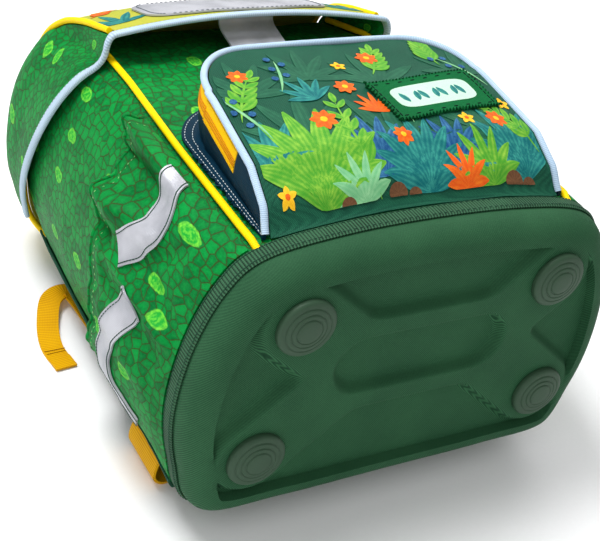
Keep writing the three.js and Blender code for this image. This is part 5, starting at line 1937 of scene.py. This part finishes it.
    def make_print(self) -> None:
        """A generic garden over the face, in a layout of its own."""
        garden = Garden(self.inside_spot)
        for ink, x, y, angle, size, blades, spread, layer in (
                (SHADOW_INK, -62, 74, 80, 52, 7, 78, 0), (SHADOW_INK, -6, 62, 110, 54, 7, 78, 0),
                (SHADOW_INK, 66, 66, 80, 52, 7, 78, 0), (SHADOW_INK, 10, 124, 60, 44, 7, 80, 0),
                (SHADOW_INK, -80, 128, 90, 40, 7, 78, 0), (SHADOW_INK, 84, 132, 110, 38, 7, 78, 0),
                (SHADOW_INK, -34, 138, 80, 38, 7, 78, 0), (BLUE_INK, -24, 52, 92, 42, 9, 62, 1),
                (BLUE_INK, 30, 54, 84, 34, 9, 64, 1), (TEAL_INK, 6, 44, 90, 46, 9, 60, 2),
                (TEAL_INK, 82, 46, 100, 50, 8, 56, 2), (TEAL_INK, -92, 62, 70, 44, 6, 40, 2),
                (LIME_INK, -66, 44, 82, 66, 8, 50, 3), (LIME_INK, 54, 44, 96, 34, 7, 62, 3),
                (ORANGE_INK, 34, 44, 90, 22, 7, 70, 4), (PALE_INK, -40, 43, 100, 26, 7, 66, 4),
                (ORANGE_INK, -6, 96, 84, 20, 7, 66, 2), (TEAL_INK, -40, 116, 104, 26, 6, 54, 2)):
            garden.fan(ink, (x, y), angle, size, blades, spread, layer)
        for x, y, angle, size, bend in (
                (-30, 44, 104, 66, -26), (-94, 108, 70, 44, -18), (98, 60, 112, 44, 20),
                (12, 136, 50, 34, 24), (70, 144, 100, 28, -24)):
            garden.sprig(LIME_INK, (x, y), angle, size, 16, bend, 3)
        for x, y, angle, size in (
                (-84, 88, 96, 44), (12, 84, 78, 34), (-58, 128, 60, 36), (94, 120, 112, 40)):
            garden.berries(PALE_INK, BLUE_INK, (x, y), angle, size, 2.4, 4)
        for x, y, radius in (
                (-46, 96, 9), (-16, 124, 7.5), (20, 158, 8), (76, 84, 8), (-78, 150, 7), (-2, 74, 7)):
            garden.flower(ORANGE_INK, YELLOW_INK, (x, y), radius, 7, 4)
        for x, y, radius in ((-90, 52, 6), (52, 84, 6), (-6, 150, 5.5), (92, 100, 6)):
            garden.flower(YELLOW_INK, ORANGE_INK, (x, y), radius, 5, 4)
        for x, y, radius in ((-18, 45, 6.5), (-6, 44, 4.5), (70, 45, 7), (82, 44, 5), (-52, 44, 5)):
            garden.blot(BROWN_INK, (x, y), radius, 5, 0.6)
        garden.print_all("pocket", "pocket_print")

    def make_label(self) -> None:
        """The felt label with its pinked edge, stitches and plain pale panel."""
        turn = math.radians(self.label_turn)

        def spot(x: float, y: float, out: float) -> Vector:
            across = x * math.cos(turn) - y * math.sin(turn) + self.label_middle[0]
            up = x * math.sin(turn) + y * math.cos(turn) + self.label_middle[1]
            return self.face_spot(across, up, Shell.seat + self.label_thickness + out)

        columns, rows = 62, 28

        def felt(u: float, v: float) -> Vector:
            i, j = round(u * columns), round(v * rows)
            x, y = (u - 0.5) * self.label_width, (v - 0.5) * self.label_height
            if i in (0, columns) and j % 2:
                x -= math.copysign(1.5, x)
            if j in (0, rows) and i % 2:
                y -= math.copysign(1.5, y)
            return spot(x, y, 0)

        label = Maker.sheet("label_felt_patch", felt, columns, rows, self.label_thickness)
        Maker.finish(label, FELT, "label_felt", "label_patch")
        self.declare(label, "laid", "pocket_panel")

        def square(value: float) -> float:
            return math.copysign(abs(value) ** 0.45, value)

        def panel(u: float, v: float) -> Vector:
            angle = 2 * math.pi * u
            return spot(33 * square(math.cos(angle)) * (1 - v), 11 * square(math.sin(angle)) * (1 - v), 0.3)

        pale = Maker.sheet("label_pale_panel", panel, 72, 4, 0.25, Shape(closed=True, folded=True))
        Maker.finish(pale, FELT_PALE, "label_felt")
        garden = Garden(spot)
        for index in range(7):
            garden.petal(TEAL_INK, (-24 + index * 8, -5), 74 if index % 2 else 106, 10, 4.6)
        garden.print_all("label", "label_felt")

        def border(share: float) -> tuple[Vector, Vector]:
            angle = 2 * math.pi * share
            half, tall = self.label_width / 2 - 4, self.label_height / 2 - 4
            place = Vector((clamp(math.cos(angle) * 1.9, -1, 1) * half,
                            clamp(math.sin(angle) * 1.9, -1, 1) * tall))
            return spot(place.x, place.y, 0.1), Vector((0, 0, 1))

        self.stitched("label_stitches", stitch_row(border, 230, 5.2, 0.7),
                      LINING, "label_felt", (1.9, 0.45, 0.4))


class Fold(NamedTuple):
    """A fold in a side pocket, from start to end in shares of its run and its mouth's height."""

    start: Pair
    end: Pair
    wide: float
    height: float


@dataclass
class SidePockets(Assembly):
    """The gathered side pockets with their silver strips."""

    columns: int = 96
    rows: int = 46
    ruffles: int = 13
    ruffle_depth: float = 3.6
    strip_spots: list[Vector] = field(default_factory=list)
    folds: tuple[Fold, ...] = (
        Fold((0.065, 1.04), (0.05, 0.62), 0.05, 14.0),
        Fold((0.185, 1.08), (0.15, 0.52), 0.045, -13.0),
        Fold((0.3, 1.06), (0.27, 0.46), 0.045, 17.0),
        Fold((0.385, 1.04), (0.37, 0.78), 0.022, -8.0),
        Fold((0.45, 1.02), (0.44, 0.7), 0.04, 6.0),
        Fold((0.35, 0.52), (0.2, 0.22), 0.035, -7.0),
        Fold((0.12, 0.5), (0.2, 0.16), 0.06, 4.0),
        Fold((0.4, 0.84), (0.45, 0.0), 0.02, 8.0),
        Fold((0.34, 0.5), (0.38, 0.16), 0.04, -5.0),
        Fold((0.47, 0.8), (0.52, 0.16), 0.03, -6.0),
        Fold((0.57, 0.8), (0.62, 0.2), 0.035, 4.0),
        Fold((0.66, 1.0), (0.6, 0.5), 0.03, -3.5),
        Fold((0.76, 1.0), (0.74, 0.45), 0.05, 3.0),
    )
    pressed: float = 0.45

    def pressing(self, across: float, rise: float) -> float:
        """How flat the strips hold the cloth at a place, from 0 to 1."""
        here = Vector((Shell.side_pocket_run * across, Shell.side_up(across, rise)))
        away = min((here - spot).length for spot in self.strip_spots)
        return 1 - smoothstep(away, Shell.strip_width * 0.55, Shell.strip_width * 1.1)

    def relief(self, across: float, rise: float) -> float:
        """How far the cloth stands off its plain form, with its crests, creases and ruffles."""
        here = (across, rise)
        held = self.pressing(across, rise)
        total = sum(row.height * fold(here, row.start, row.end, row.wide) for row in self.folds)
        calm = 1 - smoothstep(across, 0.26, 0.42) * 0.85
        ruffle = smoothstep(rise, 0.72, 0.98) * self.ruffle_depth * calm
        wave = math.sin(2 * math.pi * self.ruffles * across + 2.2 * math.sin(9 * across) + 1.5 * rise)
        return total * (1 - held * self.pressed) + ruffle * wave * (1 - held)

    def push(self, side: Side, across: float, rise: float) -> float:
        """How far folds and small dents move the cloth off its plain form."""
        height = max(math.sin(math.pi * clamp(across)), 0) ** 0.35
        place = Vector((across * 200, side.value * 40, rise * 120))
        soft = ripple(place, 24, 1.1, 6) + ripple(place, 9, 0.35, 2)
        push = (self.relief(across, rise) + soft) * height * smoothstep(rise, 0, 0.12)
        return max(push, -Shell.side_pocket_bulge * Shell.side_swell(across, rise) - 0.4)

    def spot(self, side: Side, across: float, rise: float, out: float = 0) -> Vector:
        """A point on a pocket's gathered cloth."""
        return Shell.side_spot(side, across, rise, self.push(side, across, rise) + out)

    def cover(self, side: Side, around: float, up: float) -> float:
        """How far a pocket's cloth stands off the body at a place on the wall, or zero beside it."""
        first, last = Shell.side_ends(up)
        across = (around - first) / (last - first)
        rise = (up - Shell.side_up(across, 0)) / (Shell.side_up(across, 1) - Shell.side_up(across, 0))
        share = (1 - smoothstep(rise, 1.0, 1.08)) * (1 - smoothstep(across, 1.0, 1.01))
        if share <= 0:
            return 0.0
        rise = clamp(rise)
        return (Shell.side_stand(min(across, 1), rise) + self.push(side, min(across, 1), rise) + 1.2) * share

    def make(self) -> None:
        """Both pockets, their elastic edges and strips."""
        self.strip_spots = [self.strip_path(place, step / 14) for place in Shell.strips for step in range(15)]
        for side in Side:
            cloth = Maker.sheet(f"side_pocket_cloth_{side.word}", lambda u, v: self.spot(side, u, v),
                                self.columns, self.rows, side.value * Shell.side_pocket_wall)
            Maker.finish(cloth, SCALES, "scale_print", f"side_pocket_{side.word}")
            self.declare(cloth, "gathered", "body_cloth")

            def run(share: float) -> tuple[Vector, Vector]:
                place = self.spot(side, lerp(0.02, 0.98, share), 0.93, 0.15)
                return place, Vector((side.value, 0, 0.2))

            self.stitched(f"side_pocket_stitches_{side.word}", stitch_row(run, 190, 3.4),
                          LIME_THREAD, "scale_print", (0.9, 0.28, 0.26))
            route = [self.spot(side, lerp(0.01, 0.99, step / 160), 1.0, -0.4) for step in range(161)]
            hem = Maker.build(f"side_pocket_hem_{side.word}", Maker.cord(route, 1.5, 10))
            Maker.finish(hem, SCALES, "scale_print")
            for place in ("front", "rear"):
                self.make_strip(side, place)

    @staticmethod
    def strip_path(place: str, share: float) -> Vector:
        """The middle of a strip, from the pocket's front edge and from the floor of the bag."""
        table = Shell.strips[place]
        taps = [clamp(share + step * 0.055) for step in range(-3, 4)]
        across = sum(table.smooth(tap, "across") for tap in taps) / len(taps)
        up = sum(table.smooth(tap, "up") for tap in taps) / len(taps)
        return Vector((Shell.side_pocket_run * across, Shell.side_pocket_height * up))

    def make_strip(self, side: Side, place: str) -> None:
        """One silver strip, laid over the pocket's cloth."""
        foot = Shell.tape_head + Shell.gap

        def spot(u: float, v: float, out: float) -> Vector:
            heading = self.strip_path(place, min(u + 0.05, 1)) - self.strip_path(place, max(u - 0.05, 0))
            aside = Vector((-heading.y, heading.x)).normalized()
            here = self.strip_path(place, u) + aside * (v - 0.5) * Shell.strip_width
            across = max(here.x / Shell.side_pocket_run, 0)
            mouth = Shell.side_pocket_height * Shell.side_fall.at("across", across, "mouth")
            lift = Shell.seat + Shell.strip_thickness
            rise = (here.y - foot) / (mouth - foot)
            return self.spot(side, across, rise, lift + out)

        strip = Maker.sheet(f"silver_strip_{place}_{side.word}", lambda u, v: spot(u, v, 0), 60, 12,
                            side.value * Shell.strip_thickness)
        Maker.finish(strip, REFLECT, "reflective", f"side_strip_{place}_{side.word}")
        seats = []
        for edge in (0.09, 0.91):
            def run(share: float) -> tuple[Vector, Vector]:
                return spot(share, edge, 0.15), Vector((side.value, 0, 0.2))

            seats += stitch_row(run, 150, 2.6)
        self.stitched(f"silver_strip_stitches_{place}_{side.word}", seats, DARK_THREAD, "reflective")


@dataclass
class Back(Assembly):
    """What the bag lies on: pad, straps, buckles, anchors, free webbing and the handle."""

    channel: float = 5.0
    corner: float = 0.1
    buckle_thickness: float = 4.0
    turn_share: float = 0.08
    tab_share: float = 0.75
    edge_reach: float = 9.0
    tail_width: float = 0.8

    def make(self) -> None:
        """All the pieces behind the back panel."""
        self.make_pad()
        for side in Side:
            self.make_edge(side)
            self.make_strap(side)
            frame = self.make_buckle(side)
            self.make_anchor(side, *frame)
            self.make_tail(side, *frame)
        self.make_handle()

    def make_pad(self) -> None:
        """The padded back panel, quilted round its channel."""
        def bent(share: float) -> float:
            return math.sin((share - 0.5) * math.pi)

        def point(u: float, v: float) -> Vector:
            half = Shell.pad_width / 2 * (1 - self.corner * abs(bent(v)) ** 12)
            return Vector((half * bent(u), Shell.pad_middle + Shell.pad_height / 2 * bent(v),
                           Shell.back_wall - Shell.seat))

        def depth(u: float, v: float) -> float:
            rim = max(abs(bent(u)), abs(bent(v)))
            seams = min(abs(bent(u)), abs(abs(bent(u)) - 0.52))
            cross = abs((bent(v) * 2.5) % 1 - 0.5)
            quilt = self.channel * math.exp(-(seams / 0.035) ** 2) + 2.4 * math.exp(-(cross / 0.05) ** 2)
            return max((Shell.pad_thickness - quilt) * (1 - 0.6 * rim ** 14), 3)

        pad = Maker.sheet("back_padding", point, 72, 64, depth, Shape(sharp=70))
        Maker.finish(pad, PAD_CLOTH, "base_cloth", "back_pad")

    def make_edge(self, side: Side) -> None:
        """The dark binding down a rear edge."""
        low, high = Shell.tape_head + Shell.seat, Shell.body_height * 0.93
        half = Shell.edge_binding_width / 2
        pockets = SidePockets()
        pockets.strip_spots = [pockets.strip_path("rear", step / 14) for step in range(15)]

        def point(u: float, v: float) -> Vector:
            up = lerp(low, high, v)
            around = Shell.beyond("rear_corner", lerp(-half - self.edge_reach, half, u), up)
            roll = (2 * u - 1) ** 4 * 0.9
            seam = 0.8 * math.exp(-((u - 0.52) / 0.05) ** 2)
            out = max(Shell.seat + Shell.edge_binding_thickness, pockets.cover(side, around, up) + 0.9)
            return Shell.on_body(around if side is Side.RIGHT else 1 - around, up, out - roll - seam)

        depth = side.value * (Shell.edge_binding_thickness - 0.9)
        edge = Maker.sheet(f"edge_tape_{side.word}", point, 24, 90, depth)
        Maker.finish(edge, EDGE_TAPE, "dark_tape", f"edge_binding_{side.word}")

    def make_strap(self, side: Side) -> None:
        """A padded shoulder strap with sewn edges."""
        def point(u: float, v: float) -> Vector:
            here, over = Shell.on_run(Shell.strap_run, v, side)
            half = Shell.strap_width / 2 * Shell.strap_run.smooth(v, "wide")
            here = here + over * (2 * u - 1) * half
            drop = clamp(Shell.strap_run.smooth(v, "drop"))
            here.z = lerp(Shell.flap_back - Shell.seat, Shell.pad_under - Shell.seat, drop)
            return here

        def depth(u: float, v: float) -> float:
            rim = abs(2 * u - 1)
            seam = 2.4 * math.exp(-((rim - 0.8) / 0.05) ** 2)
            full = Shell.strap_thickness * min(Shell.strap_run.smooth(v, "thick"), 1)
            return max((full - seam) * (1 - 0.6 * rim ** 12), 1.5)

        strap = Maker.sheet(f"strap_padding_{side.word}", point, 28, 120, depth, Shape(sharp=70))
        Maker.finish(strap, NAVY, "navy_cloth", f"shoulder_strap_{side.word}")

    def make_buckle(self, side: Side) -> tuple[Vector, Vector, Vector]:
        """The buckle at a strap's lower end: its middle, the way ahead and the way across."""
        here, over = Shell.on_run(Shell.strap_run, 1, side)
        ahead = Vector((over.y, -over.x, 0))
        ahead *= -math.copysign(1, ahead.y)
        length = Shell.buckle_length
        wide = Shell.webbing_width + 2 * Shell.buckle_margin
        middle = here + ahead * (length / 2 + Shell.gap)
        middle.z = Shell.ground
        bpy.ops.object.select_all(action="DESELECT")
        bpy.ops.mesh.primitive_cube_add(size=1)
        buckle = bpy.context.active_object
        buckle.name = f"buckle_{side.word}"
        buckle.dimensions = (wide * MM, length * MM, self.buckle_thickness * MM)
        bpy.ops.object.transform_apply(location=False, rotation=False, scale=True)
        bpy.ops.object.mode_set(mode="EDIT")
        bpy.ops.mesh.select_all(action="SELECT")
        bpy.ops.mesh.inset(thickness=3 * MM, depth=0, use_individual=True)
        bpy.ops.object.mode_set(mode="OBJECT")
        buckle.rotation_euler = (0, 0, math.atan2(over.y, over.x))
        buckle.location = Shell.to_row(middle + Vector((0, 0, self.buckle_thickness / 2)))
        bpy.ops.object.transform_apply(location=True, rotation=True, scale=True)
        Maker.modify(buckle, "BEVEL", width=1.1 * MM, segments=3, limit_method="ANGLE",
                     angle_limit=math.radians(40))
        Maker.smooth(buckle, 40)
        Maker.finish(buckle, PLASTIC, "buckle_plastic", f"strap_buckle_{side.word}")
        return middle, ahead, over * math.copysign(1, over.y)

    def make_anchor(self, side: Side, middle: Vector, ahead: Vector, over: Vector) -> None:
        """The yellow tab from the edge seam, with its webbing on to the buckle."""
        far = middle + ahead * (Shell.buckle_length / 2 + Shell.gap)
        seam = Shell.on_body(Shell.row_share("rear_corner", side), Shell.anchor_up,
                             Shell.edge_binding_thickness + 2 * Shell.seat)
        ground = Shell.ground + Shell.webbing_thickness
        table = Shell.anchor_run

        def tab(u: float, v: float) -> Vector:
            return Vector((seam.x + side.value * Shell.webbing_width * table.smooth(v, "outwards"),
                           Shell.anchor_up + Shell.anchor_length * table.smooth(v, "long") * (u - 0.5),
                           lerp(seam.z, ground, min(table.smooth(v, "down"), 1))))

        def point(u: float, v: float) -> Vector:
            if v <= self.tab_share:
                return tab(u, v / self.tab_share)
            end = far + over * (u - 0.5) * Shell.webbing_width
            end.z = ground
            return tab(u, 1).lerp(end, (v - self.tab_share) / (1 - self.tab_share))

        tab_piece = Maker.sheet(f"anchor_tab_{side.word}", point, 10, 60,
                                side.value * Shell.webbing_thickness)
        Maker.finish(tab_piece, WEBBING, "yellow_trim", f"webbing_anchor_{side.word}")
        self.declare(tab_piece, "folded", f"edge_tape_{side.word}", f"buckle_{side.word}")

    def make_tail(self, side: Side, middle: Vector, ahead: Vector, over: Vector) -> None:
        """The free webbing from the buckle, out beside the bag."""
        outer = middle + over * (Shell.webbing_width / 2 + Shell.buckle_margin + Shell.gap)
        table = Shell.tail_run

        def on_tail(u: float, v: float) -> Vector:
            here, square = Shell.on_run(table, v, side)
            here = here + square * (u - 0.5) * Shell.webbing_width * self.tail_width
            here.z = max(table.smooth(v, "lift"), 0) * Shell.webbing_width
            here.z += 0.9 * smoothstep(v, 0.925, 0.935)
            return here

        def point(u: float, v: float) -> Vector:
            here = on_tail(u, max((v - self.turn_share) / (1 - self.turn_share), 0))
            if v < self.turn_share:
                start = outer + ahead * side.value * (u - 0.5) * Shell.webbing_width
                start.z = 0
                here = start.lerp(here, v / self.turn_share)
            here.z += Shell.ground + Shell.webbing_thickness
            return here

        def hem(share: float) -> tuple[Vector, Vector]:
            row, along = divmod(clamp(share, 0, 0.999) * 2, 1)
            here = point(lerp(0.04, 0.96, along), 0.915 - 0.012 * row)
            return here + Vector((0, 0, 0.2)), Vector((0, 0, 1))

        self.stitched(f"free_webbing_stitches_{side.word}", stitch_row(hem, Shell.webbing_width * 1.7, 1.9),
                      AMBER_THREAD, "yellow_trim")
        tail = Maker.sheet(f"free_webbing_{side.word}", point, 10, 150, Shell.webbing_thickness)
        Maker.finish(tail, WEBBING, "yellow_trim", f"webbing_tail_{side.word}")
        self.declare(tail, "laid", f"buckle_{side.word}")

    def make_handle(self) -> None:
        """The short carry handle on the flap's back."""
        middle = Shell.flap_top * Shell.flap_profile.row(len(Shell.flap_profile.rows) - 2, "up")

        def point(u: float, v: float) -> Vector:
            return Vector((Shell.handle_span * (v - 0.5), middle + Shell.handle_width * (u - 0.5),
                           Shell.flap_back - Shell.seat
                           - Shell.handle_rise * math.sin(math.pi * v) ** 0.7))

        handle = Maker.sheet("handle_webbing", point, 8, 60, -Shell.handle_thickness)
        Maker.finish(handle, NAVY_WEBBING, "navy_cloth", "carry_handle")
        self.declare(handle, "folded", "flap_panel")


@dataclass
class Studio(Assembly):
    """The camera, the pale floor and the soft lights."""

    lens: float = 76.44
    camera_place: Triple = (-434.4, -464.6, 555.8)
    camera_right: Triple = (0.86569, -0.47105, 0.1694)
    camera_up: Triple = (0.14442, 0.55903, 0.81647)
    camera_back: Triple = (-0.47929, -0.68235, 0.55198)
    world_light: float = 0.47

    def make(self) -> None:
        """All of it."""
        bpy.context.scene.view_settings.view_transform = "Standard"
        self.make_camera()
        self.make_floor()
        world = bpy.data.worlds.new("studio")
        world.use_nodes = True
        world.node_tree.nodes["Background"].inputs[0].default_value = (1, 1, 1, 1)
        world.node_tree.nodes["Background"].inputs[1].default_value = self.world_light
        bpy.context.scene.world = world
        self.make_light("key", (-0.5, 0.3, 1.7), 0.7, 30)
        self.make_light("fill", (-0.9, -1.1, 1.0), 1.6, 7)
        self.make_light("rear", (0.9, 0.9, 1.3), 1.2, 9)

    def make_camera(self) -> None:
        """The camera at the photograph's angle."""
        data = bpy.data.cameras.new("camera")
        data.lens, data.sensor_width = self.lens, 36
        camera = bpy.data.objects.new("camera", data)
        bpy.context.scene.collection.objects.link(camera)
        turn = Matrix((self.camera_right, self.camera_up, self.camera_back)).transposed()
        place = Matrix.Translation(Shell.to_row(Vector(self.camera_place)))
        camera.matrix_world = place @ turn.to_4x4()
        bpy.context.scene.camera = camera

    def make_floor(self) -> None:
        """A pale floor that carries on to the horizon."""
        bpy.ops.object.select_all(action="DESELECT")
        bpy.ops.mesh.primitive_plane_add(size=14)
        floor = bpy.context.active_object
        floor.name = "floor"
        recipe = Recipe("floor paper")
        grain = recipe.noise(recipe.place(), 300, 2)
        colour = recipe.mix(srgb(246, 246, 247), srgb(250, 250, 251), grain)
        floor.data.materials.append(recipe.surface(colour, 0.9))

    @staticmethod
    def make_light(name: str, place: tuple[float, float, float], size: float, power: float) -> None:
        """A soft square light that faces the bag."""
        data = bpy.data.lights.new(name, "AREA")
        data.size, data.energy = size, power
        light = bpy.data.objects.new(name, data)
        light.location = place
        aim = Vector((0, 0, 0.1)) - Vector(place)
        light.rotation_euler = aim.to_track_quat("-Z", "Y").to_euler()
        bpy.context.scene.collection.objects.link(light)


def main() -> None:
    """Builds and dresses the whole ransel."""
    logging.basicConfig(level=logging.INFO, format="%(message)s")
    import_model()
    Shell.settle()
    for group in (BodyShell(), Base(), Flap(), Closure(), FrontPocket(), SidePockets(), Back(), Studio()):
        group.make()
        LOG.info("%s made", type(group).__name__)


if __name__ == "__main__":
    main()
